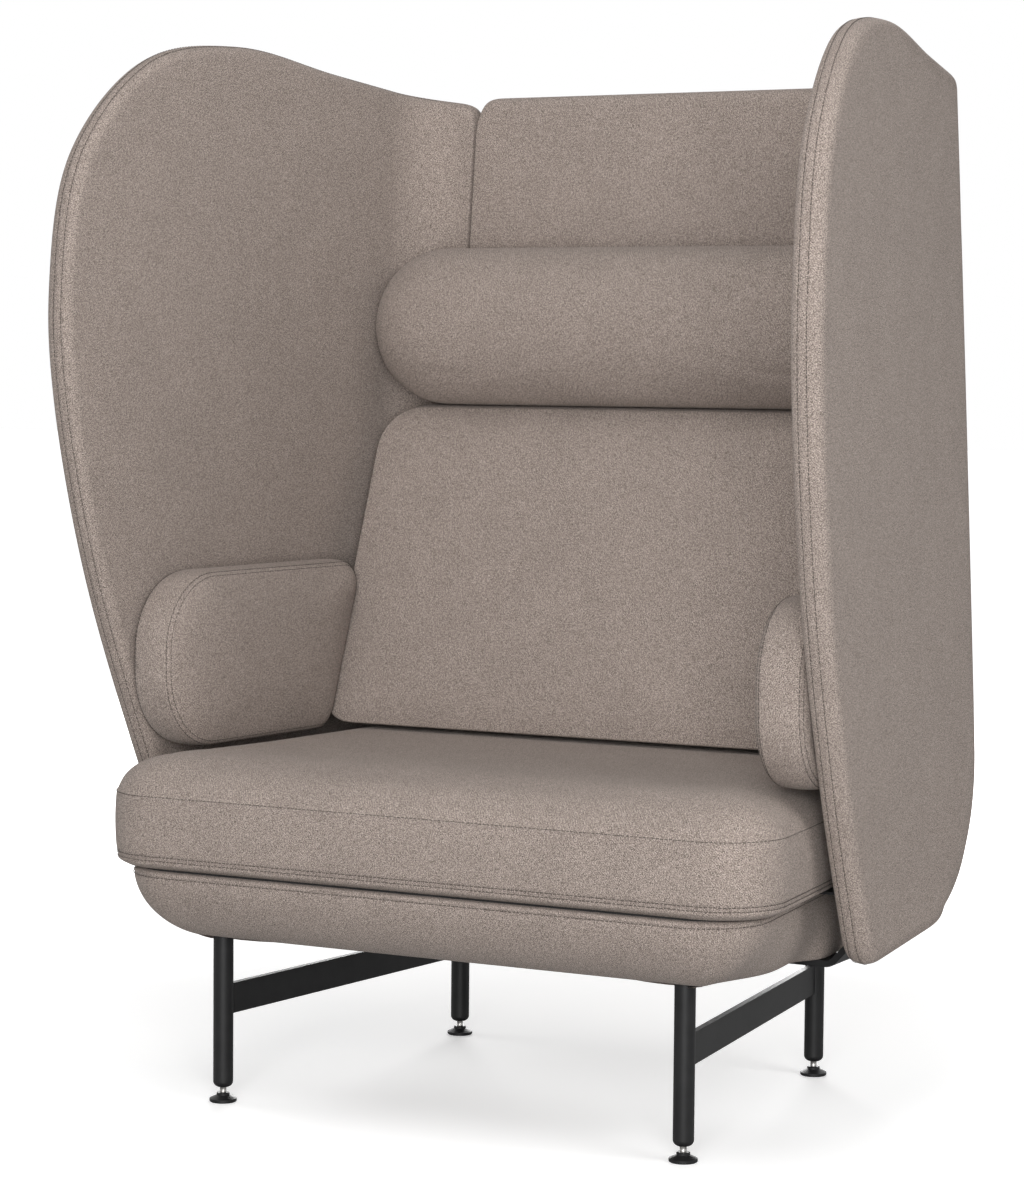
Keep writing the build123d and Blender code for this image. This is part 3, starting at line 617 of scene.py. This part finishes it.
def back_edge(normal, point):
    """Round of the back panel's edge: full along its top and bottom, tight along both seams."""
    return EDGE_ROUND + (SEAM_ROUND - EDGE_ROUND) * smooth(0.75, 0.97, abs(normal[:, 0]))


def make_back_panel(material):
    """Back panel between the two seams."""
    half = float(seam_x(np.array(SHELL_REF_Z)))
    corners = [(-half, BACK_LOW_Z), (half, BACK_LOW_Z), (half, BACK_TOP_Z), (-half, BACK_TOP_Z)]
    pad = Pad(rounded_outline(corners, (0.012, 0.012, 0.022, 0.022)), (0.0, 0.006, 0.014), 16, back_edge)

    def place(flat, depth):
        centre_x, centre_y, radius, flare = shell_plan(flat[:, 1])
        x = flat[:, 0] * (seam_x(flat[:, 1]) - SEAM_GAP) / half
        return np.column_stack([x, centre_y + radius - depth, flat[:, 1]])

    rows = edge_rows(pad, back_edge, SHELL_THICK)
    piece = pad.build("back_panel_cloth", even(0.0), even(SHELL_THICK), rows, place, material)
    piece.data.flip_normals()
    return piece


def seat_outline(front_y, rear_y, front_half, corner, rear_corner):
    """Tapered seat plan with round corners."""
    rear_half = front_half - (rear_y - front_y) * math.tan(SIDE_TAPER)
    points = [(-front_half, front_y), (front_half, front_y), (rear_half, rear_y), (-rear_half, rear_y)]
    return rounded_outline(points, (corner, corner, rear_corner, rear_corner))


def upright(flat, height):
    """Places a form that lies flat."""
    return np.column_stack([flat, height])


def hull_tuck(normal, point):
    """How far the hull runs under: full at its front corners, less at the sides, little over the bar."""
    side = BASE_TUCK - (BASE_TUCK - SIDE_TUCK) * smooth(-0.30, -0.13, point[:, 1])
    side -= (SIDE_TUCK - BAR_TUCK) * smooth(-0.075, -0.015, point[:, 1])
    return side * (1 - smooth(0.35, 0.8, normal[:, 1]))


def make_base(material):
    """Hull under the seat with a sewn rim, running under to a flat bottom, and its stitch line."""
    outline = seat_outline(BASE_FRONT_Y, BASE_REAR_Y, BASE_HALF, SEAT_CORNER, BASE_REAR_CORNER)
    pad = Pad(outline, (0.0, 0.004, 0.012), 12, lambda *edge: 0.006, lambda *edge: hull_tuck(*edge) + 0.001)
    full = hull_tuck(pad.rim_normal, pad.rim_point)
    rows = [(0.002, BASE_RIM_Z - 0.0012), (0.0, BASE_RIM_Z - 0.004)]
    for angle in np.radians((3.2, 4.4, 5.6, 9, 14, 20, 27, 34, 41, 48, 55, 62, 69, 76, 83)):
        groove = 0.0012 * dip(BASE_HEIGHT * math.sin(angle), BASE_SEAM_DROP, 0.002)
        rows.append((full * (1 - math.cos(angle)) + groove, BASE_RIM_Z - BASE_HEIGHT * math.sin(angle)))
    piece = pad.build("base_cloth", even(BASE_RIM_Z), even(BASE_RIM_Z - BASE_HEIGHT), rows, upright, material)
    return piece, [pad.line(0.0008, BASE_RIM_Z - BASE_SEAM_DROP, upright)]


def seat_limit(flat):
    """Height up to which the seat's top may swell: its crown, less where other cushions rest on it."""
    crown = SEAT_SEAM_Z + SEAT_CROWN
    arm_seam = ARM_FRONT_X - ARM_GUSSET / 2 - (flat[:, 1] - ARM_FRONT_Y) * math.tan(ARM_TURN)
    beside = smooth(-0.022, -0.002, abs(flat[:, 0]) - arm_seam) * smooth(-0.33, -0.27, flat[:, 1])
    behind = smooth(-0.027, -0.004, flat[:, 1] - BACK_FOOT_Y)
    return crown - np.maximum((crown - ARM_REST_Z) * beside, (crown - BACK_REST_Z) * behind)


def make_seat(material):
    """Seat cushion: crowned top, upright band, twin seam and turned lower edge; and its stitch lines."""
    outline = seat_outline(SEAT_FRONT_Y, SEAT_REAR_Y, SEAT_HALF, SEAT_CORNER, REAR_CORNER)
    borders = (0.0, 0.0015, 0.003, 0.0055, 0.009, 0.014, 0.020, 0.028, 0.038, 0.050, 0.066, 0.084)
    pad = Pad(outline, borders, 14, lambda *edge: 0.003, lambda *edge: 0.014)

    def top(inset, flat):
        rise = (SEAT_CROWN - SEAT_SWELL) * (1 - np.exp(-inset / SEAT_ROUND))
        return np.minimum(SEAT_SEAM_Z + rise + 0.0014 * dip(inset, 0.0055, 0.003), seat_limit(flat))

    rows = []
    drops = (1.2, 2.5, 4.5, 8, 14, 22, 32, 44, 56, 66, 73, 76, 77.6, 78.6, 80.6, 82.6, 83.6, 85, 88, 91, 93)
    for drop in np.array(drops) * 0.001:
        share = drop / (SEAT_SEAM_Z - SEAT_LOW_Z)
        bulge = 0.003 * math.sin(math.pi * min(share / 0.85, 1.0)) ** 0.6
        twin = sum(dip(SEAT_SEAM_Z - drop, level, 0.0009) for level in SEAT_TWIN_LEVELS)
        groove = 0.0010 * twin + 0.0026 * dip(drop, 0.0, 0.0016)
        turn = 0.013 * smooth(0.086, 0.0955, drop) ** 1.6
        rows.append((0.002 - bulge + groove + turn, SEAT_SEAM_Z - drop))
    piece = pad.build("seat_cushion_cloth", top, even(SEAT_LOW_Z), rows, upright, material,
                      free=(True, False))

    def press(points):
        return np.column_stack([points[:, :2], np.minimum(points[:, 2], seat_limit(points))])

    swell(piece, SEAT_SWELL, press)
    lines = [pad.line(0.0014, level, upright) for level in SEAT_TWIN_LEVELS]
    lines.append(pad.line(0.0010, SEAT_SEAM_Z - 0.0045, upright))
    return piece, lines


def make_back_cushion(material):
    """Reclined back cushion, a wedge with a crowned front and a sewn edge."""
    length = math.hypot(BACK_HEAD_Y - BACK_FOOT_Y, BACK_HEAD_Z - BACK_FOOT_Z)
    corners = [(-BACK_HALF, 0.0), (BACK_HALF, 0.0), (BACK_HALF, length), (-BACK_HALF, length)]
    outline = rounded_outline(corners, (0.036, 0.036, 0.062, 0.062))
    pad = Pad(outline, (0.0, 0.0015, 0.003, 0.006, 0.010, 0.015, 0.022, 0.031, 0.043, 0.058, 0.078), 14,
              lambda *edge: 0.004)

    def front(inset, flat):
        across, upward = flat[:, 0] / BACK_HALF, 2 * flat[:, 1] / length - 1
        pillow = np.clip(1 - across ** 2, 0, 1) * np.clip(1 - upward ** 2, 0, 1)
        return -BACK_CROWN * (1 - np.exp(-inset / BACK_ROUND)) - BACK_PILLOW * pillow

    rear_depth = BACK_REAR_Y - BACK_HEAD_Y
    rows = []
    for depth in np.array((1.0, 2.5, 5, 9, 15, 23, 33, 45, 58, 70, 78, 83, 86)) * 0.001:
        share = depth / rear_depth
        bulge = 0.0055 * math.sin(math.pi * min(share, 1.0)) ** 0.7
        rows.append((0.003 - bulge, depth))

    def place(flat, depth):
        share = flat[:, 1] / length
        front_y = BACK_FOOT_Y + share * (BACK_HEAD_Y - BACK_FOOT_Y)
        stretch = np.where(depth > 0, (BACK_REAR_Y - front_y) / rear_depth, 1.0)
        y = front_y + depth * stretch
        z = BACK_FOOT_Z + share * (BACK_HEAD_Z - BACK_FOOT_Z) - np.minimum(depth, 0) * 0.3
        return inside_shell(np.column_stack([flat[:, 0], y, z]))

    piece = pad.build("back_cushion_cloth", front, even(rear_depth), rows, place, material,
                      free=(True, False))
    swell(piece, BACK_SWELL, inside_shell)
    return piece


def make_bolster(material):
    """Pill-shaped head bolster."""
    low, high = BOLSTER_LOW_Z, BOLSTER_LOW_Z + BOLSTER_HEIGHT
    corners = [(-BOLSTER_HALF, low), (BOLSTER_HALF, low), (BOLSTER_HALF, high), (-BOLSTER_HALF, high)]
    outline = rounded_outline(corners, [0.485 * BOLSTER_HEIGHT] * 4)
    borders = (0.0, 0.002, 0.005, 0.009, 0.014, 0.020, 0.027, 0.035, 0.044, 0.054, 0.065, 0.076, 0.087)
    pad = Pad(outline, borders, 6, lambda *edge: 0.001)
    reach = BOLSTER_HEIGHT / 2
    middle = (low + high) / 2
    front_depth = BOLSTER_FRONT - BOLSTER_SWELL

    def dome(flat, depth, power):
        beyond = np.maximum(abs(flat[:, 0]) - (BOLSTER_HALF - reach), 0)
        share = np.clip(np.hypot(beyond, flat[:, 1] - middle) / reach, 0, 1)
        return depth * (1 - share ** power) ** (1 / power)

    def place(flat, depth):
        return inside_shell(np.column_stack([flat[:, 0], BOLSTER_SEAM_Y + depth, flat[:, 1]]))

    piece = pad.build("head_bolster_cloth", lambda inset, flat: -dome(flat, front_depth, FRONT_DOME_POWER),
                      lambda inset, flat: dome(flat, BOLSTER_REAR, REAR_DOME_POWER),
                      [(0.0, 0.0)], place, material,
                      free=(True, False))
    swell(piece, BOLSTER_SWELL, inside_shell)
    return piece


def arm_place(side):
    """Maps length along an arm, height on it and step out of its middle to the arm's place."""
    def place(flat, step):
        x = ARM_FRONT_X - flat[:, 0] * math.sin(ARM_TURN) + step * math.cos(ARM_TURN)
        y = ARM_FRONT_Y + flat[:, 0] * math.cos(ARM_TURN) + step * math.sin(ARM_TURN)
        z = ARM_BASE_Z + flat[:, 1]
        slope = (BACK_HEAD_Y - BACK_FOOT_Y) / (BACK_HEAD_Z - BACK_FOOT_Z)
        y = np.minimum(y, BACK_FOOT_Y + (z - BACK_FOOT_Z) * slope - ARM_BACK_GAP)
        return inside_shell(np.column_stack([side * x, y, z]))
    return place


def make_arm(name, side, material):
    """Boxed arm cushion: crowned faces, gusset between two seams; and the stitch lines beside the seams."""
    corners = [(0.0, 0.0), (ARM_LENGTH - ARM_RAKE, 0.0), (ARM_LENGTH, ARM_HEIGHT), (0.0, ARM_HEIGHT)]
    outline = rounded_outline(corners, (ARM_FRONT_ROUND, ARM_REAR_ROUND, ARM_REAR_ROUND, ARM_FRONT_ROUND))
    borders = (0.0, 0.0015, 0.003, 0.0055, 0.009, 0.014, 0.020, 0.028, 0.038, 0.050)
    pad = Pad(outline, borders, 9, lambda *edge: 0.002)
    seam = ARM_GUSSET / 2
    place = arm_place(side)

    def face(inset, crown):
        return seam + crown * (1 - np.exp(-inset / ARM_ROUND)) - 0.0006 * dip(inset, 0.0, 0.003)

    rows = []
    for step in np.linspace(1, -1, 17)[1:-1] * seam:
        groove = 0.0014 * (dip(step, seam, 0.003) + dip(step, -seam, 0.003))
        rows.append((groove - 0.003 * (1 - (step / seam) ** 2), step))
    piece = pad.build(name, lambda inset, flat: face(inset, ARM_CROWN),
                      lambda inset, flat: -face(inset, ARM_INNER_CROWN - ARM_SWELL), rows, place, material,
                      free=(False, True))
    if side < 0:
        piece.data.flip_normals()
    swell(piece, ARM_SWELL)
    lines = []
    for level, crown in ((-seam, ARM_INNER_CROWN - ARM_SWELL), (seam, ARM_CROWN)):
        lines.append(pad.line(0.0003, level * (1 - ARM_STITCH / seam), place))
        beside = face(np.array(ARM_STITCH), crown) * np.sign(level)
        lines.append(pad.line(ARM_STITCH + 0.002, beside, place))
    return piece, lines


def node_tree(name):
    """New material with its tree, its shader and a helper that adds nodes."""
    material = bpy.data.materials.new(name)
    material.use_nodes = True
    tree = material.node_tree
    shader = tree.nodes["Principled BSDF"]

    def add(kind, **values):
        node = tree.nodes.new(kind)
        for key, value in values.items():
            if hasattr(node, key):
                setattr(node, key, value)
            else:
                node.inputs[key.replace("_", " ")].default_value = value
        return node

    return material, tree.links.new, shader, add


def ramp(add, stops):
    """Colour ramp with stops of place and colour."""
    node = add("ShaderNodeValToRGB")
    elements = node.color_ramp.elements
    while len(elements) < len(stops):
        elements.new(0.5)
    for element, (place, colour) in zip(elements, stops):
        element.position = place
        element.color = (*colour, 1.0)
    return node


def fabric_material(name, dark, middle, light):
    """Melange wool: flecked yarns, fine diagonal twill, soft fuzz."""
    material, link, shader, add = node_tree(name)
    spot = add("ShaderNodeTexCoord")
    bias = add("ShaderNodeMapping")
    bias.inputs["Rotation"].default_value = (0.6, 0.4, 0.9)
    link(spot.outputs["Object"], bias.inputs["Vector"])
    fleck = add("ShaderNodeTexNoise", Scale=980.0, Detail=1.0, Roughness=0.6)
    link(bias.outputs["Vector"], fleck.inputs["Vector"])
    yarn = ramp(add, ((0.30, dark), (0.50, middle), (0.72, light)))
    link(fleck.outputs["Fac"], yarn.inputs["Fac"])
    shade = add("ShaderNodeTexNoise", Scale=14.0, Detail=3.0, Roughness=0.5)
    link(spot.outputs["Object"], shade.inputs["Vector"])
    tone = ramp(add, ((0.35, (0.94, 0.94, 0.94)), (0.65, (1.0, 1.0, 1.0))))
    link(shade.outputs["Fac"], tone.inputs["Fac"])
    cloud = add("ShaderNodeMix", data_type="RGBA", blend_type="MULTIPLY")
    cloud.inputs["Factor"].default_value = 1.0
    link(yarn.outputs["Color"], cloud.inputs["A"])
    link(tone.outputs["Color"], cloud.inputs["B"])
    cut = add("ShaderNodeUVMap", uv_map="cloth")
    twill = add("ShaderNodeTexWave", bands_direction="DIAGONAL", Scale=190.0, Distortion=1.2, Detail=1.0)
    twill.inputs["Detail Scale"].default_value = 3.0
    link(cut.outputs["UV"], twill.inputs["Vector"])
    rib = ramp(add, ((0.15, (0.86, 0.86, 0.86)), (0.75, (1.0, 1.0, 1.0))))
    link(twill.outputs["Fac"], rib.inputs["Fac"])
    woven = add("ShaderNodeMix", data_type="RGBA", blend_type="MULTIPLY")
    woven.inputs["Factor"].default_value = 1.0
    link(cloud.outputs["Result"], woven.inputs["A"])
    link(rib.outputs["Color"], woven.inputs["B"])
    link(woven.outputs["Result"], shader.inputs["Base Color"])
    height = add("ShaderNodeMath", operation="MULTIPLY_ADD")
    height.inputs[1].default_value = 0.6
    link(twill.outputs["Fac"], height.inputs[0])
    link(fleck.outputs["Fac"], height.inputs[2])
    bump = add("ShaderNodeBump", Strength=0.35, Distance=0.0006)
    link(height.outputs["Value"], bump.inputs["Height"])
    link(bump.outputs["Normal"], shader.inputs["Normal"])
    shader.inputs["Roughness"].default_value = 0.94
    shader.inputs["Specular IOR Level"].default_value = 0.15
    shader.inputs["Sheen Weight"].default_value = 0.12
    shader.inputs["Sheen Roughness"].default_value = 0.6
    shader.inputs["Sheen Tint"].default_value = (0.82, 0.77, 0.73, 1.0)
    return material


def painted_shade_thread_material():
    """Sewing thread, twisted, painted far darker than the cloth: its dark colour is painted shade of the
    stitch holes and seam grooves.
    """
    material, link, shader, add = node_tree("thread")
    spot = add("ShaderNodeTexCoord")
    twist = add("ShaderNodeTexNoise", Scale=900.0, Detail=1.0)
    link(spot.outputs["Object"], twist.inputs["Vector"])
    # painted shade: these near-black tones stand for the shadowed holes between stitches, the thread itself
    # being cloth-coloured
    tone = ramp(add, ((0.3, (0.045, 0.036, 0.030)), (0.7, (0.090, 0.074, 0.063))))
    link(twist.outputs["Fac"], tone.inputs["Fac"])
    link(tone.outputs["Color"], shader.inputs["Base Color"])
    shader.inputs["Roughness"].default_value = 0.8
    return material


def coat_material(name, dark, light, rough, grain):
    """Powder coat or stain: a near-black tone with fine grain in tone, gloss and surface."""
    material, link, shader, add = node_tree(name)
    spot = add("ShaderNodeTexCoord")
    fine = add("ShaderNodeTexNoise", Scale=grain, Detail=3.0, Roughness=0.6)
    link(spot.outputs["Object"], fine.inputs["Vector"])
    wide = add("ShaderNodeTexNoise", Scale=grain / 60, Detail=2.0)
    link(spot.outputs["Object"], wide.inputs["Vector"])
    tone = ramp(add, ((0.35, dark), (0.70, light)))
    link(wide.outputs["Fac"], tone.inputs["Fac"])
    link(tone.outputs["Color"], shader.inputs["Base Color"])
    gloss = add("ShaderNodeMapRange", To_Min=rough - 0.06, To_Max=rough + 0.08)
    link(fine.outputs["Fac"], gloss.inputs["Value"])
    link(gloss.outputs["Result"], shader.inputs["Roughness"])
    bump = add("ShaderNodeBump", Strength=0.12, Distance=0.0002)
    link(fine.outputs["Fac"], bump.inputs["Height"])
    link(bump.outputs["Normal"], shader.inputs["Normal"])
    shader.inputs["Specular IOR Level"].default_value = 0.3
    return material


def steel_material():
    """Turned steel with the ridges of a fine thread."""
    material, link, shader, add = node_tree("stem_steel")
    spot = add("ShaderNodeTexCoord")
    ridge = add("ShaderNodeTexWave", bands_direction="Z", Scale=1 / (THREAD_PITCH * 20), Distortion=0.0)
    link(spot.outputs["Object"], ridge.inputs["Vector"])
    worn = add("ShaderNodeTexNoise", Scale=220.0, Detail=3.0)
    link(spot.outputs["Object"], worn.inputs["Vector"])
    tone = ramp(add, ((0.35, (0.30, 0.29, 0.28)), (0.65, (0.50, 0.49, 0.47))))
    link(worn.outputs["Fac"], tone.inputs["Fac"])
    link(tone.outputs["Color"], shader.inputs["Base Color"])
    gloss = add("ShaderNodeMapRange", To_Min=0.28, To_Max=0.46)
    link(worn.outputs["Fac"], gloss.inputs["Value"])
    link(gloss.outputs["Result"], shader.inputs["Roughness"])
    bump = add("ShaderNodeBump", Strength=0.8, Distance=0.0006)
    link(ridge.outputs["Fac"], bump.inputs["Height"])
    link(bump.outputs["Normal"], shader.inputs["Normal"])
    shader.inputs["Metallic"].default_value = 1.0
    return material


def timber_material():
    """Plain plywood and pine with a long grain."""
    material, link, shader, add = node_tree("timber")
    spot = add("ShaderNodeTexCoord")
    stretch = add("ShaderNodeMapping")
    stretch.inputs["Scale"].default_value = (4.0, 60.0, 60.0)
    link(spot.outputs["Object"], stretch.inputs["Vector"])
    grain = add("ShaderNodeTexNoise", Scale=3.0, Detail=5.0, Roughness=0.6)
    link(stretch.outputs["Vector"], grain.inputs["Vector"])
    tone = ramp(add, ((0.3, (0.34, 0.22, 0.12)), (0.7, (0.58, 0.42, 0.26))))
    link(grain.outputs["Fac"], tone.inputs["Fac"])
    link(tone.outputs["Color"], shader.inputs["Base Color"])
    bump = add("ShaderNodeBump", Strength=0.2, Distance=0.0004)
    link(grain.outputs["Fac"], bump.inputs["Height"])
    link(bump.outputs["Normal"], shader.inputs["Normal"])
    shader.inputs["Roughness"].default_value = 0.6
    return material


def floor_material():
    """Pale floor: it glows to the camera, so that it is white and grey only where the sofa shades it."""
    material, link, shader, add = node_tree("floor")
    shader.inputs["Roughness"].default_value = 0.9
    shader.inputs["Specular IOR Level"].default_value = 0.1
    shader.inputs["Emission Color"].default_value = (1.0, 1.0, 1.0, 1.0)
    path = add("ShaderNodeLightPath")
    spot = add("ShaderNodeTexCoord")
    far = add("ShaderNodeVectorMath", operation="LENGTH")
    link(spot.outputs["Object"], far.inputs[0])
    fade = add("ShaderNodeMapRange", From_Min=0.9, From_Max=2.4, To_Min=FLOOR_GLOW, To_Max=1.0)
    link(far.outputs["Value"], fade.inputs["Value"])
    glow = add("ShaderNodeMath", operation="MULTIPLY")
    link(path.outputs["Is Camera Ray"], glow.inputs[0])
    link(fade.outputs["Result"], glow.inputs[1])
    link(glow.outputs["Value"], shader.inputs["Emission Strength"])
    tone = add("ShaderNodeMix", data_type="RGBA")
    tone.inputs["A"].default_value = (0.50, 0.50, 0.50, 1.0)
    tone.inputs["B"].default_value = (0.90, 0.90, 0.90, 1.0)
    link(path.outputs["Is Camera Ray"], tone.inputs["Factor"])
    link(tone.outputs["Result"], shader.inputs["Base Color"])
    return material


def paint_frame():
    """Materials of the CAD nodes that stay in view or inside."""
    black = coat_material("powder_black", (0.007, 0.007, 0.0075), (0.011, 0.011, 0.0115), 0.46, 2600.0)
    stain = coat_material("deck_black", (0.010, 0.010, 0.010), (0.020, 0.019, 0.019), 0.70, 900.0)
    steel = steel_material()
    timber = timber_material()
    finish = {"powder_black": black, "deck_black": stain, "stem_steel": steel, "timber": timber}
    for part in frame["record"]["subparts"]:
        if part["material_slot"] in finish:
            mesh = frame["nodes"][part["node"]].data
            mesh.materials.clear()
            mesh.materials.append(finish[part["material_slot"]])


def set_camera():
    """Camera of the photograph."""
    yaw, pitch, roll = (math.radians(turn) for turn in (CAMERA_YAW, CAMERA_PITCH, CAMERA_ROLL))
    right = Vector((math.cos(yaw), math.sin(yaw), 0.0))
    ahead = Vector((-math.sin(yaw) * math.cos(pitch), math.cos(yaw) * math.cos(pitch), -math.sin(pitch)))
    up = right.cross(ahead)
    level = right * math.cos(roll) + up * math.sin(roll)
    above = up * math.cos(roll) - right * math.sin(roll)
    data = bpy.data.cameras.new("camera")
    data.sensor_width = SENSOR
    data.lens = SENSOR * FOCAL_PX / PHOTO_HEIGHT
    camera = bpy.data.objects.new("camera", data)
    turn = Matrix((level, above, -ahead)).transposed().to_4x4()
    camera.matrix_world = Matrix.Translation(CAMERA_PLACE) @ turn
    bpy.context.scene.collection.objects.link(camera)
    bpy.context.scene.camera = camera


def add_lamp(name, place, aim, size, power):
    """Large soft lamp."""
    data = bpy.data.lights.new(name, "AREA")
    data.size = size
    data.energy = power
    lamp = bpy.data.objects.new(name, data)
    lamp.location = place
    lamp.rotation_euler = (Vector(aim) - Vector(place)).to_track_quat("-Z", "Y").to_euler()
    bpy.context.scene.collection.objects.link(lamp)


def set_stage():
    """Pale floor, soft studio light, white surroundings."""
    mesh = bpy.data.meshes.new("floor")
    reach = 30.0
    corners = [(-reach, -reach, 0), (reach, -reach, 0), (reach, reach, 0), (-reach, reach, 0)]
    mesh.from_pydata(corners, [], [(0, 1, 2, 3)])
    mesh.materials.append(floor_material())
    floor = bpy.data.objects.new("floor", mesh)
    bpy.context.scene.collection.objects.link(floor)
    floor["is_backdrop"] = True
    world = bpy.data.worlds.new("studio")
    world.use_nodes = True
    bpy.context.scene.world = world
    tree = world.node_tree
    sky = tree.nodes["Background"]
    sky.inputs["Color"].default_value = (1.0, 1.0, 1.0, 1.0)
    sky.inputs["Strength"].default_value = WORLD_LIGHT
    white = tree.nodes.new("ShaderNodeBackground")
    white.inputs["Color"].default_value = (1.0, 1.0, 1.0, 1.0)
    path = tree.nodes.new("ShaderNodeLightPath")
    seen = tree.nodes.new("ShaderNodeMath")
    seen.operation = "MAXIMUM"
    tree.links.new(path.outputs["Is Camera Ray"], seen.inputs[0])
    tree.links.new(path.outputs["Is Glossy Ray"], seen.inputs[1])
    mix = tree.nodes.new("ShaderNodeMixShader")
    tree.links.new(seen.outputs["Value"], mix.inputs["Fac"])
    tree.links.new(sky.outputs["Background"], mix.inputs[1])
    tree.links.new(white.outputs["Background"], mix.inputs[2])
    tree.links.new(mix.outputs["Shader"], tree.nodes["World Output"].inputs["Surface"])
    middle = (0.0, 0.0, 0.75)
    add_lamp("key", (1.95, -4.2, 1.25), middle, 2.4, KEY_LIGHT)
    add_lamp("top", (0.3, -1.6, 3.6), middle, 2.2, TOP_LIGHT)
    add_lamp("side", (3.7, -0.6, 2.2), middle, 2.2, SIDE_LIGHT)
    add_lamp("rear", (-1.95, 4.2, 1.6), middle, 2.4, REAR_LIGHT)
    add_lamp("far side", (-4.0, -0.2, 1.8), middle, 2.2, FAR_LIGHT)
    bpy.context.scene.view_settings.view_transform = "Standard"


def build_sofa():
    """Every cloth piece with the solids it stands for, and its stitches."""
    cloth = fabric_material("upholstery", YARN_DARK, YARN_MIDDLE, YARN_LIGHT)
    # the stitches' dark thread colour is painted shade of the stitch holes and seam grooves
    thread = painted_shade_thread_material()
    for name, side in (("left", -1), ("right", 1)):
        wing, wing_lines = make_wing(f"wing_{name}_cloth", side, cloth)
        dress(wing, [f"wing_{name}"], levels=2)
        sew(f"wing_{name}_stitches", wing_lines, thread)
        arm, arm_lines = make_arm(f"arm_{name}_cloth", side, cloth)
        dress(arm, [f"arm_cushion_{name}", f"arm_core_{name}"])
        sew(f"arm_{name}_stitches", arm_lines, thread)
    dress(make_back_panel(cloth), ["back_panel"], levels=2)
    base, base_lines = make_base(cloth)
    dress(base, ["base_cover"])
    sew("base_stitches", base_lines, thread)
    seat, seat_lines = make_seat(cloth)
    dress(seat, ["seat_cushion", "seat_core"])
    sew("seat_stitches", seat_lines, thread)
    dress(make_back_cushion(cloth), ["back_cushion", "back_core"])
    dress(make_bolster(cloth), ["head_bolster", "bolster_core"])


def write_size():
    """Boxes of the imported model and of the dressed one."""
    boxes = {"cad": cad_box, "visual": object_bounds()}
    plain = {name: [list(map(float, corner)) for corner in box] for name, box in boxes.items()}


paint_frame()
build_sofa()
set_stage()
set_camera()
write_size()
